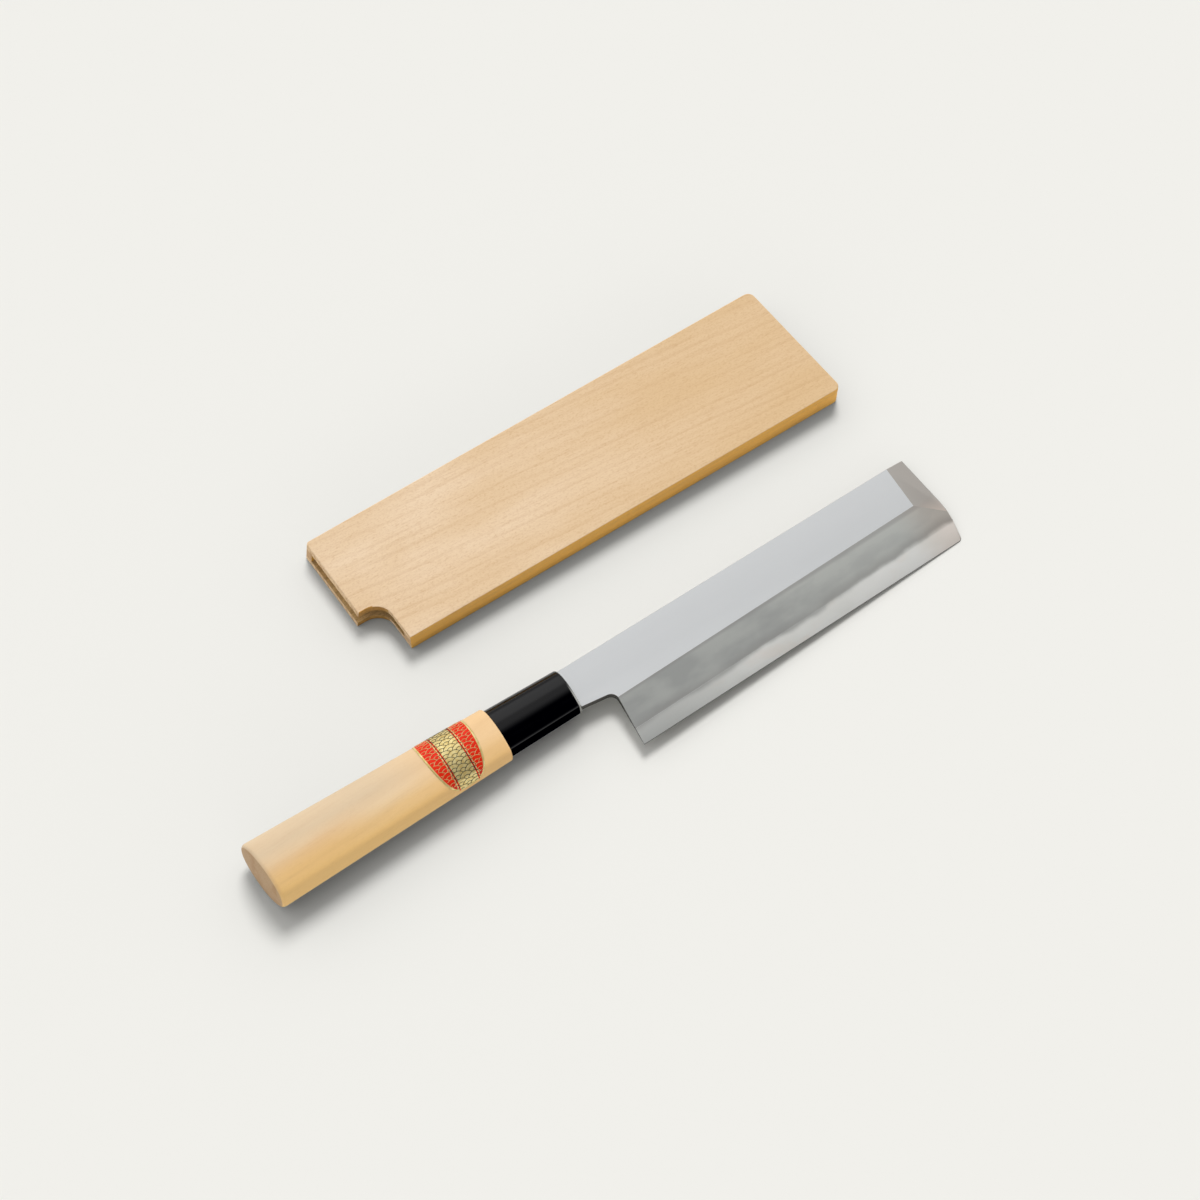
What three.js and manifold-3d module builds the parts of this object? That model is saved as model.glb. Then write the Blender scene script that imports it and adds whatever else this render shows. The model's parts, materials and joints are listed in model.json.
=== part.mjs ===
// A small right-handed vegetable knife with a straight edge and a bevel on one side, lying beside its wooden sheath.
// Millimetres, +Z up. In the knife's own frame X runs from the ferrule's front face to the tip, Y towards the
// spine and Z out of the bevelled face, with the blade's flat back at Z = 0 and the handle's axis at Y = 0.
import * as THREE from 'three';
import { mergeVertices } from 'three/addons/utils/BufferGeometryUtils.js';
import Module from 'manifold-3d';

const wasm = await Module();
wasm.setup();

const degrees = Math.PI / 180;

// Blade
const bladeLength = 136.3; // heel to tip, along the spine
const heelHeight = 37.4; // spine to edge, at the heel
const bladeThickness = 2.9;
const edgeThickness = 0.3;
const spineOffset = 7.6; // spine above the handle's axis, at the ferrule
const spineRise = 0.7 * degrees;
const edgeRise = 1.3 * degrees;
const heelLean = 4.9 * degrees;
const tipLean = 4.9 * degrees;
const bevelWidthHeel = 18.3;
const bevelWidthTip = 19.3;
const endBevelSpine = 6.9; // length of the end bevel, at the spine
const endBevelRidge = 8.9; // and where it meets the main bevel's ridge
const tipBreak = 10.8; // where the tip turns back, above the edge
const tipBack = 3.1; // how far it has come back at the edge
const tipBreakRadius = 40;
const edgeEndRadius = 1.5;

// Neck and tang
const neckLength = 11; // ferrule to heel
const neckHeight = 15.2;
const neckDrop = 1.5; // fall of the neck's lower side on its way to the heel
const choilRadius = 3;
const tangLength = 75; // inside the handle, from the ferrule's front face
const tangRootHeight = 10;
const tangEndHeight = 6;

// Steel layer on the flat back
const steelThickness = 1.2;
const steelSetback = 3; // the layer's rear end, behind the heel
const weldSeam = 0.05;

// Handle and ferrule, each tapering towards the blade
const handleLength = 120.6; // wood and ferrule together
const buttHeight = 25;
const buttDepth = 20;
const buttDrop = 1; // the butt's middle, below the blade's
const buttLean = 4 * degrees;
const buttTilt = 5 * degrees; // the butt's face looks up a little
const woodFrontHeight = 20.6;
const woodFrontDepth = 14.8;
const woodRound = 0.9; // rounded front end of the wood
const ferruleLength = 28.3;
const ferruleRearHeight = 18.5;
const ferruleRearDepth = 13.2;
const ferruleFrontHeight = 17.3;
const ferruleFrontDepth = 12.3;
const ferruleRound = 0.8;
const ferruleWall = 2.4;
const ferruleNose = 5; // solid front of the ferrule, past the tenon
const ridgeRise = 0.62; // the handle's ridge, in half depths above its axis
const ridgeSide = 0.91; // and in half heights towards the edge

// Label
const labelLength = 19.5; // along the handle
const labelWrap = 40; // around the handle
const labelSetback = 7.8; // behind the wood's front end
const labelPastRidge = 4; // its end on the edge side
const labelThickness = 0.2;
const labelSquareness = 2.2; // 2 is an ellipse, more is squarer
const labelEnd = 3; // width of its two blunt ends

// Sheath
const sheathTongue = 33; // height of the mouth, on the spine side
const sheathNotch = 9.2; // length of the step for the heel
const sheathNotchRadius = 6.8;
const sheathStrip = 4.2; // side strips
const sheathEnd = 10; // solid end
const sheathSpare = 28; // room past the tip
const sheathBottom = 2.5; // boards
const sheathTop = 2.6;
const mouthLean = 3.2 * degrees;
const mouthSlant = 1.3; // how far the mouth's foot stands out
const endLean = 6.1 * degrees;
const mouthCorner = 1.4;
const endCornerSpine = 3;
const endCornerEdge = 2.4;

// How the two lie
const knifeYaw = 0.95 * degrees;
const sheathGap = 32.8; // between the knife and the sheath's near side
const sheathBack = 47.2; // the sheath's mouth, behind the ferrule's front face

// Clearances
const seatGap = 0.3; // between neighbours that are fixed to each other
const tangPlay = 0.3; // around the tang
const sidePlay = 2.2; // beside the blade in the sheath
const facePlay = 0.75; // over and under the blade in the sheath

// Fineness of the round parts
const curveSegments = 10;
const sectionSteps = 26;
const labelRows = [4, 24]; // below and above the ridge
const labelColumns = 8;
const far = 1000; // larger than the whole object

const point = (x, y, z) => new THREE.Vector3(x, y, z);

/** Shape through corners [x, y] or [x, y, radius], given counter-clockwise. */
function outline(corners) {
  const shape = new THREE.Shape();
  const at = (i) => new THREE.Vector2(...corners[(i + corners.length) % corners.length].slice(0, 2));
  corners.forEach(([, , radius = 0], i) => {
    const corner = at(i);
    const back = at(i - 1).sub(corner).normalize();
    const ahead = at(i + 1).sub(corner).normalize();
    const half = Math.acos(back.dot(ahead)) / 2;
    const start = corner.clone().addScaledVector(back, radius / Math.tan(half));
    const end = corner.clone().addScaledVector(ahead, radius / Math.tan(half));
    if (i === 0) shape.moveTo(start.x, start.y);
    else shape.lineTo(start.x, start.y);
    if (radius > 0) {
      const inwards = back.clone().add(ahead).normalize();
      const centre = corner.clone().addScaledVector(inwards, radius / Math.sin(half));
      const hollow = back.cross(ahead) > 0;
      shape.absarc(centre.x, centre.y, radius, start.sub(centre).angle(), end.sub(centre).angle(), hollow);
    }
  });
  shape.closePath();
  return shape;
}

/** Plate of the given outline between two heights. */
function plate(shape, bottom, top) {
  const geometry = new THREE.ExtrudeGeometry(shape, { depth: top - bottom, bevelEnabled: false, curveSegments });
  return geometry.translate(0, 0, bottom);
}

/** Closed body of a geometry, ready to be joined or cut. */
function solid(geometry) {
  const bare = geometry.clone();
  bare.deleteAttribute('normal');
  bare.deleteAttribute('uv');
  const merged = mergeVertices(bare);
  const vertProperties = new Float32Array(merged.attributes.position.array);
  const triVerts = new Uint32Array(merged.index.array);
  return new wasm.Manifold(new wasm.Mesh({ numProp: 3, vertProperties, triVerts }));
}

/** Geometry of a body. */
function geometryOf(body) {
  const mesh = body.getMesh();
  const geometry = new THREE.BufferGeometry();
  geometry.setAttribute('position', new THREE.BufferAttribute(new Float32Array(mesh.vertProperties), 3));
  geometry.setIndex(new THREE.BufferAttribute(new Uint32Array(mesh.triVerts), 1));
  const flat = geometry.toNonIndexed();
  flat.computeVertexNormals();
  return flat;
}

/** Geometry of a list of triangles' corners. */
function geometryFrom(corners) {
  const geometry = new THREE.BufferGeometry();
  geometry.setAttribute('position', new THREE.Float32BufferAttribute(corners.flat(), 3));
  geometry.computeVertexNormals();
  return geometry;
}

/** Body that fills the space behind a plane. */
function behind(plane) {
  const block = new THREE.BoxGeometry(far, far, far).translate(0, 0, -far / 2);
  block.applyQuaternion(new THREE.Quaternion().setFromUnitVectors(point(0, 0, 1), plane.normal));
  return solid(block.translate(...plane.coplanarPoint(point(0, 0, 0))));
}

/** Body of a plain block between two corners. */
function block(low, high) {
  const size = high.map((value, i) => value - low[i]);
  return solid(new THREE.BoxGeometry(...size).translate(...low.map((value, i) => value + size[i] / 2)));
}

/** Plane through three points, facing up. */
function roof(a, b, c) {
  const plane = new THREE.Plane().setFromCoplanarPoints(a, b, c);
  return plane.normal.z > 0 ? plane : plane.negate();
}

/** Height of a plane over a place. */
const heightOn = (plane, x, y) => -(plane.constant + plane.normal.x * x + plane.normal.y * y) / plane.normal.z;

/** Section of the handle: an oval with a ridge on the bevelled side near the edge, joined to it by two flats. */
function ridgedSection(height, depth) {
  const ridge = Math.atan2(ridgeRise, -ridgeSide);
  const spread = Math.acos(1 / Math.hypot(ridgeRise, ridgeSide));
  const points = [[-ridgeSide, ridgeRise]];
  for (let i = 0; i <= sectionSteps; i += 1) {
    const angle = ridge + spread + (2 * Math.PI - 2 * spread) * (i / sectionSteps);
    points.push([Math.cos(angle), Math.sin(angle)]);
  }
  return points.map(([y, z]) => new THREE.Vector2((y * height) / 2, (z * depth) / 2));
}

/** Plain oval section. */
function ovalSection(height, depth) {
  return new THREE.EllipseCurve(0, 0, height / 2, depth / 2).getPoints(sectionSteps).slice(0, sectionSteps);
}

const handleAxisZ = bladeThickness / 2;

/** Closed body through stations { x, height, depth, drop } along the handle. */
function loft(stations, section) {
  const rings = stations.map(({ x, height, depth, drop = 0 }) =>
    section(height, depth).map((p) => [x, p.x, p.y + handleAxisZ - drop]));
  const count = rings[0].length;
  const last = rings.length - 1;
  const corners = [];
  for (let r = 0; r < last; r += 1) {
    for (let i = 0; i < count; i += 1) {
      const j = (i + 1) % count;
      corners.push(rings[r][i], rings[r][j], rings[r + 1][j]);
      corners.push(rings[r][i], rings[r + 1][j], rings[r + 1][i]);
    }
  }
  for (let i = 1; i < count - 1; i += 1) {
    corners.push(rings[0][0], rings[0][i + 1], rings[0][i]);
    corners.push(rings[last][0], rings[last][i], rings[last][i + 1]);
  }
  return geometryFrom(corners);
}

// Straight lines of the blade, seen from above
const spineY = (x) => spineOffset + x * Math.tan(spineRise);
const edgeY = (x) => spineY(neckLength) - heelHeight + (x - neckLength) * Math.tan(edgeRise);
const tipX = neckLength + bladeLength;
const tipDrop = (spineY(tipX) - edgeY(tipX)) / (1 + Math.tan(edgeRise) * Math.tan(tipLean));
const onTip = (drop) => [tipX + drop * Math.tan(tipLean), spineY(tipX) - drop];
const tipTurn = onTip(tipDrop - tipBreak);
const edgeEndX = onTip(tipDrop)[0] - tipBack;
const neckRearY = spineY(0) - neckHeight;
const choilY = neckRearY - neckDrop;
const choilX = neckLength + (choilY - edgeY(neckLength)) * Math.tan(heelLean);

/** Corners of the tang, let out by a clearance. */
const tangCorners = (play) => [
  [-tangLength - play, -tangEndHeight / 2 - play],
  [seatGap, -tangRootHeight / 2 - play],
  [seatGap, tangRootHeight / 2 + play],
  [-tangLength - play, tangEndHeight / 2 + play],
];

// Blade: a plate of the knife's outline under two planes, cut into its two metals
const [tangEndLow, tangRootLow, tangRootHigh, tangEndHigh] = tangCorners(0);
const bladeOutline = outline([
  tangEndLow,
  tangRootLow,
  [seatGap, neckRearY],
  [choilX, choilY, choilRadius],
  [neckLength, edgeY(neckLength)],
  [edgeEndX, edgeY(edgeEndX), edgeEndRadius],
  [...tipTurn, tipBreakRadius],
  onTip(0),
  [seatGap, spineY(0)],
  tangRootHigh,
  tangEndHigh,
]);
const midX = neckLength + bladeLength / 2;
const ridgeY = edgeY(tipX) + bevelWidthTip;
const mainBevel = roof(
  point(neckLength, edgeY(neckLength) + bevelWidthHeel, bladeThickness),
  point(tipX, ridgeY, bladeThickness),
  point(midX, edgeY(midX), edgeThickness),
);
const [ridgeTipX] = onTip(spineY(tipX) - ridgeY);
const endBevel = roof(
  point(tipX - endBevelSpine, spineY(tipX), bladeThickness),
  point(ridgeTipX - endBevelRidge, ridgeY, bladeThickness),
  point(...tipTurn, heightOn(mainBevel, ...tipTurn)),
);
const blade = solid(plate(bladeOutline, 0, bladeThickness)).intersect(behind(mainBevel)).intersect(behind(endBevel));
const steelRear = neckLength - steelSetback;
const steelLayer = block([steelRear, -far, -far], [far, far, steelThickness]);
const steelRecess = block([steelRear - weldSeam, -far, -far], [far, far, steelThickness + weldSeam]);
const bladeSteel = geometryOf(blade.intersect(steelLayer));
const bladeIron = geometryOf(blade.subtract(steelRecess));

// Handle and ferrule: the wood's tenon sits in the ferrule, and the tang in both
const woodFront = -ferruleLength - seatGap;
const tenonHeight = ferruleFrontHeight - 2 * ferruleWall;
const tenonDepth = ferruleFrontDepth - 2 * ferruleWall;
const tangHole = solid(plate(outline(tangCorners(tangPlay)), -tangPlay, bladeThickness + tangPlay));

/** Oval body of the tenon between two places, let out by a clearance. */
function tenon(rear, front, play) {
  const size = { height: tenonHeight + 2 * play, depth: tenonDepth + 2 * play };
  return solid(loft([{ x: rear, ...size }, { x: front, ...size }], ovalSection));
}

/** Station of the wood at a place along it. */
function woodAt(x) {
  const part = (x + handleLength) / (woodFront + handleLength);
  const height = THREE.MathUtils.lerp(buttHeight, woodFrontHeight, part);
  const depth = THREE.MathUtils.lerp(buttDepth, woodFrontDepth, part);
  return { x, height, depth, drop: buttDrop * (1 - part) };
}

const narrowed = (at, by) => ({ ...at, height: at.height - 2 * by, depth: at.depth - 2 * by });
const buttPlane = new THREE.Plane().setFromNormalAndCoplanarPoint(
  point(-1, -Math.tan(buttLean), Math.tan(buttTilt)).normalize(),
  point(-handleLength, 0, handleAxisZ),
);
const woodRear = -handleLength - buttHeight * Math.tan(buttLean) - buttDepth * Math.tan(buttTilt);
const handle = geometryOf(
  solid(loft([
    woodAt(woodRear),
    woodAt(woodFront - woodRound),
    narrowed(woodAt(woodFront), woodRound),
  ], ridgedSection))
    .intersect(behind(buttPlane))
    .add(tenon(woodFront - ferruleWall, -ferruleNose - seatGap, 0))
    .subtract(tangHole),
);
const ferruleFront = { x: -ferruleRound, height: ferruleFrontHeight, depth: ferruleFrontDepth };
const ferrule = geometryOf(
  solid(loft([
    { x: -ferruleLength, height: ferruleRearHeight, depth: ferruleRearDepth },
    ferruleFront,
    narrowed({ ...ferruleFront, x: 0 }, ferruleRound),
  ], ridgedSection))
    .subtract(tenon(-handleLength, -ferruleNose, seatGap))
    .subtract(tangHole),
);

/** Point at a distance around the wood from its ridge, towards the spine, let out by a gap. */
function aroundWood(x, distance, gap) {
  const { height, depth, drop } = narrowed(woodAt(x), -gap);
  const [ridge, ...round] = ridgedSection(height, depth);
  const path = new THREE.Path([ridge, ...(distance < 0 ? round : round.reverse())]);
  const place = path.getPoint(Math.abs(distance) / path.getLength());
  return [x, place.x, place.y + handleAxisZ - drop];
}

/** Thin oval foil wrapped over the wood and its ridge. */
function foil() {
  const middleX = woodFront - labelSetback - labelLength / 2;
  const ends = [-labelPastRidge, labelWrap - labelPastRidge];
  const steps = (from, to, count) => Array.from({ length: count }, (_, i) => from + ((to - from) * i) / count);
  const rows = [...steps(ends[0], 0, labelRows[0]), ...steps(0, ends[1], labelRows[1]), ends[1]];
  const row = (distance, gap) => {
    const part = Math.min(Math.abs((2 * (distance - ends[0])) / labelWrap - 1), 1);
    const swell = (1 - part ** labelSquareness) ** (1 / labelSquareness);
    const reach = (labelEnd + (labelLength - labelEnd) * swell) / 2;
    return [...steps(-reach, reach, labelColumns), reach]
      .map((offset) => aroundWood(middleX + offset, distance, gap));
  };
  const under = rows.map((distance) => row(distance, seatGap));
  const over = rows.map((distance) => row(distance, seatGap + labelThickness));
  const corners = [];
  const quad = (a, b, c, d) => corners.push(a, b, c, a, c, d);
  const last = rows.length - 1;
  for (let r = 0; r < last; r += 1) {
    for (let c = 0; c < labelColumns; c += 1) {
      quad(over[r][c], over[r][c + 1], over[r + 1][c + 1], over[r + 1][c]);
      quad(under[r][c], under[r + 1][c], under[r + 1][c + 1], under[r][c + 1]);
    }
    quad(under[r][0], over[r][0], over[r + 1][0], under[r + 1][0]);
    quad(over[r][labelColumns], under[r][labelColumns], under[r + 1][labelColumns], over[r + 1][labelColumns]);
  }
  for (let c = 0; c < labelColumns; c += 1) {
    quad(under[0][c], under[0][c + 1], over[0][c + 1], over[0][c]);
    quad(over[last][c], over[last][c + 1], under[last][c + 1], under[last][c]);
  }
  return geometryFrom(corners);
}

// Sheath, in its own frame: X from the mouth's corner on the spine side, Y = 0 along that side
const cavityHeight = bladeThickness + 2 * facePlay;
const sheathWidth = heelHeight + 2 * sidePlay + 2 * sheathStrip;
const sheathHeight = sheathBottom + cavityHeight + sheathTop;
const mouthX = (y) => -y * Math.tan(mouthLean);
const tongueX = mouthX(-sheathTongue);
const notchX = tongueX + sheathNotch;
const heelStopX = notchX + mouthX(sheathTongue - sheathWidth);
const sheathLength = notchX + bladeLength + sheathSpare + sheathEnd;
const sheathOutline = outline([
  [tongueX, -sheathTongue],
  [notchX, -sheathTongue, sheathNotchRadius],
  [heelStopX, -sheathWidth],
  [sheathLength + sheathWidth * Math.tan(endLean), -sheathWidth, endCornerEdge],
  [sheathLength, 0, endCornerSpine],
  [0, 0, mouthCorner],
]);

/** Layer of the sheath between two heights, with the foot of the mouth and of the notch standing out. */
function sheathLayer(bottom, top) {
  const geometry = plate(sheathOutline, bottom, top);
  const places = geometry.attributes.position;
  for (let i = 0; i < places.count; i += 1) {
    const share = THREE.MathUtils.clamp((notchX - places.getX(i)) / sheathNotch, 0, 1);
    places.setX(i, places.getX(i) - mouthSlant * share * (1 - places.getZ(i) / sheathHeight));
  }
  geometry.computeVertexNormals();
  return geometry;
}

const endPlane = new THREE.Plane().setFromNormalAndCoplanarPoint(
  point(Math.cos(endLean), Math.sin(endLean), 0),
  point(sheathLength - sheathEnd, 0, 0),
);
const core = solid(sheathLayer(sheathBottom, sheathBottom + cavityHeight));
const sides = core.intersect(behind(endPlane));
const endBlock = geometryOf(core.intersect(behind(endPlane.clone().negate())));
const spineStrip = geometryOf(sides.intersect(block([-far, -sheathStrip, -far], [far, far, far])));
const edgeStrip = geometryOf(sides.intersect(block([-far, -far, -far], [far, sheathStrip - sheathWidth, far])));
const bottomBoard = sheathLayer(0, sheathBottom);
const topBoard = sheathLayer(sheathBottom + cavityHeight, sheathHeight);

const iron = new THREE.MeshStandardMaterial({ color: 0xc4c8ca, roughness: 0.32, metalness: 1 });
const steel = new THREE.MeshStandardMaterial({ color: 0xcfd1d1, roughness: 0.22, metalness: 1 });
const horn = new THREE.MeshStandardMaterial({ color: 0x0b0b0d, roughness: 0.2, metalness: 0 });
const handleWood = new THREE.MeshStandardMaterial({ color: 0xe6c894, roughness: 0.5, metalness: 0 });
const sheathWood = new THREE.MeshStandardMaterial({ color: 0xe6caa0, roughness: 0.6, metalness: 0 });
const redFoil = new THREE.MeshStandardMaterial({ color: 0xd8321c, roughness: 0.35, metalness: 0.3 });

/** Named piece of the object. */
function piece(name, geometry, material) {
  const mesh = new THREE.Mesh(geometry, material);
  mesh.name = name;
  return mesh;
}

const knife = new THREE.Group();
knife.add(
  piece('blade_iron', bladeIron, iron),
  piece('blade_steel', bladeSteel, steel),
  piece('ferrule', ferrule, horn),
  piece('handle', handle, handleWood),
  piece('label', foil(), redFoil),
);

const sheath = new THREE.Group();
sheath.add(
  piece('sheath_bottom_board', bottomBoard, sheathWood),
  piece('sheath_top_board', topBoard, sheathWood),
  piece('sheath_spine_strip', spineStrip, sheathWood),
  piece('sheath_edge_strip', edgeStrip, sheathWood),
  piece('sheath_end_block', endBlock, sheathWood),
);

/** Slope at which the knife lies, on the lowest place of a piece and on the tip's flat back. */
function restingSlope(geometry, reach) {
  const place = point(0, 0, 0);
  let slope = 0;
  for (let i = 0; i < geometry.attributes.position.count; i += 1) {
    place.fromBufferAttribute(geometry.attributes.position, i);
    slope = Math.max(slope, -place.z / (reach - place.x));
  }
  return slope;
}

// The knife rests on its handle and its tip, and the sheath lies flat beside the spine
bladeSteel.computeBoundingBox();
const tipReach = bladeSteel.boundingBox.max.x;
const pitch = Math.atan(Math.max(restingSlope(handle, tipReach), restingSlope(ferrule, tipReach)));
knife.rotation.set(0, pitch, knifeYaw, 'ZYX');
const knifeBox = new THREE.Box3().setFromObject(knife, true);
knife.position.z = -knifeBox.min.z;
sheath.position.set(-sheathBack, knifeBox.max.y + sheathGap + sheathWidth, 0);

// Origin under the middle of the set, on the surface that it lies on
const set = new THREE.Group();
set.add(knife, sheath);
const setBox = new THREE.Box3().setFromObject(set, true);
const middle = setBox.getCenter(point(0, 0, 0));
set.position.set(-middle.x, -middle.y, -setBox.min.z);

export default set;
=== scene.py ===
"""Dresses a small single-bevel vegetable knife and its wooden sheath, and lights them in a plain studio.

Lengths are in millimetres and angles in degrees, until a mesh, a lamp or a node takes them.
"""

import json
import logging
import math
from collections.abc import Callable, Sequence
from dataclasses import dataclass
from enum import Enum

import bmesh
import bpy
from mathutils import Matrix, Vector


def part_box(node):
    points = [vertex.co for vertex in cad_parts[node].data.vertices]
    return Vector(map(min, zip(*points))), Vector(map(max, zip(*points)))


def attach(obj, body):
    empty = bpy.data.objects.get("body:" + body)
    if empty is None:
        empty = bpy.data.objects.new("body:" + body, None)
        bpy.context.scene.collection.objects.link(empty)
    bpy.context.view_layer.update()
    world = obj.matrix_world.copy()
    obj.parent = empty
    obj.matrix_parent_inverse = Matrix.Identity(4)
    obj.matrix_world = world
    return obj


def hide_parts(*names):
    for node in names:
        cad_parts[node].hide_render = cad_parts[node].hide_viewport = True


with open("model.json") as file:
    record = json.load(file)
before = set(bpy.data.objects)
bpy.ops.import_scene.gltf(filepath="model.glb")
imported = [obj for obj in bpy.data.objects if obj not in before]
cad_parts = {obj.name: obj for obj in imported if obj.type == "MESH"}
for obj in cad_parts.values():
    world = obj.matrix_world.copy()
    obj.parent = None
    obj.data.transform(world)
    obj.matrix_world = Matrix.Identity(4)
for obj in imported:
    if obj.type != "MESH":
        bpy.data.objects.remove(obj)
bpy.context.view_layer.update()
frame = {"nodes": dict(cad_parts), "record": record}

MM = 0.001
MERGE = 0.001
FLATNESS = math.radians(0.05)
AROUND_STEP = math.radians(1.0)
# The place of the record's blade_back mount in the knife's own frame.
BACK_MOUNT = Vector((79, -3, 0))
LABEL_UV = "label_uv"
LABEL_INSET = "label_inset"
LOG = logging.getLogger("usuba")

Colour = tuple[float, float, float, float]


def tone(red: int, green: int, blue: int) -> Colour:
    """Turns a screen colour into the linear colour that a shader takes.

    Args:
        red: Red, from 0 to 255.
        green: Green, from 0 to 255.
        blue: Blue, from 0 to 255.

    Returns:
        The linear colour, opaque.
    """
    parts = [channel / 255 for channel in (red, green, blue)]
    linear = [part / 12.92 if part <= 0.04045 else ((part + 0.055) / 1.055) ** 2.4 for part in parts]
    return (*linear, 1.0)


class Body(Enum):
    """The bodies that pieces ride on."""

    KNIFE = "knife"
    SHEATH = "sheath"


class Slot(Enum):
    """The record's material slots."""

    IRON = "blade_iron"
    STEEL = "blade_steel"
    HORN = "ferrule_horn"
    HANDLE = "handle_wood"
    FOIL = "label_foil"
    SHEATH = "sheath_wood"


class Socket(Enum):
    """The kinds of socket that the node trees have."""

    NUMBER = "NodeSocketFloat"
    VECTOR = "NodeSocketVector"
    SHAPE = "NodeSocketGeometry"
    OBJECT = "NodeSocketObject"
    MATERIAL = "NodeSocketMaterial"


class Term:
    """A value in a node tree, so that node maths reads as sums."""

    def __init__(self, graph: "Graph", socket: bpy.types.NodeSocket) -> None:
        """Keeps the tree and the socket that gives the value."""
        self.graph = graph
        self.socket = socket

    def __add__(self, other: "Value") -> "Term":
        """Sum of the two."""
        return self.graph.math("ADD", self, other)

    def __sub__(self, other: "Value") -> "Term":
        """What is left after the other is taken off."""
        return self.graph.math("SUBTRACT", self, other)

    def __rsub__(self, other: "Value") -> "Term":
        """What is left of the other after this is taken off."""
        return self.graph.math("SUBTRACT", other, self)

    def __mul__(self, other: "Value") -> "Term":
        """Product of the two."""
        return self.graph.math("MULTIPLY", self, other)

    def __truediv__(self, other: "Value") -> "Term":
        """This, divided by the other."""
        return self.graph.math("DIVIDE", self, other)

    def __rtruediv__(self, other: "Value") -> "Term":
        """The other, divided by this."""
        return self.graph.math("DIVIDE", other, self)

    __radd__ = __add__
    __rmul__ = __mul__


Value = Term | float | int | bool | str | Sequence[float] | bpy.types.ID


class Graph:
    """Adds nodes to one node tree and links them."""

    def __init__(self, tree: bpy.types.NodeTree) -> None:
        """Takes a tree and empties it."""
        self.tree = tree
        tree.nodes.clear()

    def feed(self, socket: bpy.types.NodeSocket, value: Value) -> None:
        """Links a term to a socket, or sets a plain value on it.

        Args:
            socket: The socket that takes the value.
            value: A term of this tree or a plain value.
        """
        if isinstance(value, Term):
            self.tree.links.new(value.socket, socket)
        else:
            socket.default_value = value

    def fill(self, node: bpy.types.Node, inputs: dict[str | int, Value]) -> None:
        """Feeds a node's sockets, by name or place."""
        for key, value in inputs.items():
            self.feed(node.inputs[key], value)

    def node(self, kind: str, inputs: dict[str | int, Value] | None = None,
             **settings: object) -> bpy.types.Node:
        """Adds a node.

        Args:
            kind: Blender's name for the type of node.
            inputs: What its sockets take, by name or place.
            settings: The node's own settings.

        Returns:
            The new node.
        """
        node = self.tree.nodes.new(kind)
        for name, value in settings.items():
            setattr(node, name, value)
        self.fill(node, inputs or {})
        return node

    def term(self, kind: str, inputs: dict[str | int, Value] | None = None, out: str | int = 0,
             **settings: object) -> Term:
        """Adds a node and gives one of its outputs, by name or place."""
        return Term(self, self.node(kind, inputs, **settings).outputs[out])

    def math(self, operation: str, *values: Value) -> Term:
        """Gives the result of a Math node on the values."""
        return self.term("ShaderNodeMath", dict(enumerate(values)), operation=operation)

    def clamp(self, value: Value) -> Term:
        """Holds a value between 0 and 1."""
        return self.term("ShaderNodeMath", {0: value, 1: 0.0}, operation="ADD", use_clamp=True)

    def ramp(self, value: Value, low: Value, high: Value, start: Value = 0.0, stop: Value = 1.0) -> Term:
        """Leads smoothly from start, where the value is low, to stop, where it is high."""
        inputs = {"Value": value, "From Min": low, "From Max": high, "To Min": start, "To Max": stop}
        return self.term("ShaderNodeMapRange", inputs, interpolation_type="SMOOTHSTEP")

    def blend(self, share: Value, first: Value, second: Value, mode: str = "MIX") -> Term:
        """Mixes two colours, where a share of 1 is all of the second."""
        inputs = {0: share, 6: first, 7: second}
        return self.term("ShaderNodeMix", inputs, out=2, data_type="RGBA", blend_type=mode)

    def stretched(self, place: Term, scale: Sequence[float], shift: Sequence[float] = (0, 0, 0)) -> Term:
        """Scales a place along its axes and moves it, for a pattern of other proportions."""
        inputs = {0: place, 1: tuple(scale), 2: tuple(shift)}
        return self.term("ShaderNodeVectorMath", inputs, operation="MULTIPLY_ADD")

    def noise(self, place: Term, detail: float = 2.0, roughness: float = 0.5) -> Term:
        """Gives soft noise with one cell to a unit, between 0 and 1."""
        inputs = {"Vector": place, "Scale": 1.0, "Detail": detail, "Roughness": roughness}
        return self.term("ShaderNodeTexNoise", inputs)

    def axes(self, place: Term) -> tuple[Term, Term, Term]:
        """Splits a place into its three numbers."""
        outputs = self.node("ShaderNodeSeparateXYZ", {0: place}).outputs
        return Term(self, outputs[0]), Term(self, outputs[1]), Term(self, outputs[2])

    def vector(self, x: Value, y: Value, z: Value) -> Term:
        """Joins three numbers into a place."""
        return self.term("ShaderNodeCombineXYZ", {0: x, 1: y, 2: z})

    def group(self, tree: bpy.types.NodeTree, inputs: dict[str, Value]) -> dict[str, Term]:
        """Places a shader node group.

        Args:
            tree: The group's tree.
            inputs: What its sockets take, by name.

        Returns:
            Its outputs by name.
        """
        node = self.node("ShaderNodeGroup", node_tree=tree)
        self.fill(node, inputs)
        return {output.name: Term(self, output) for output in node.outputs}


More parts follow.
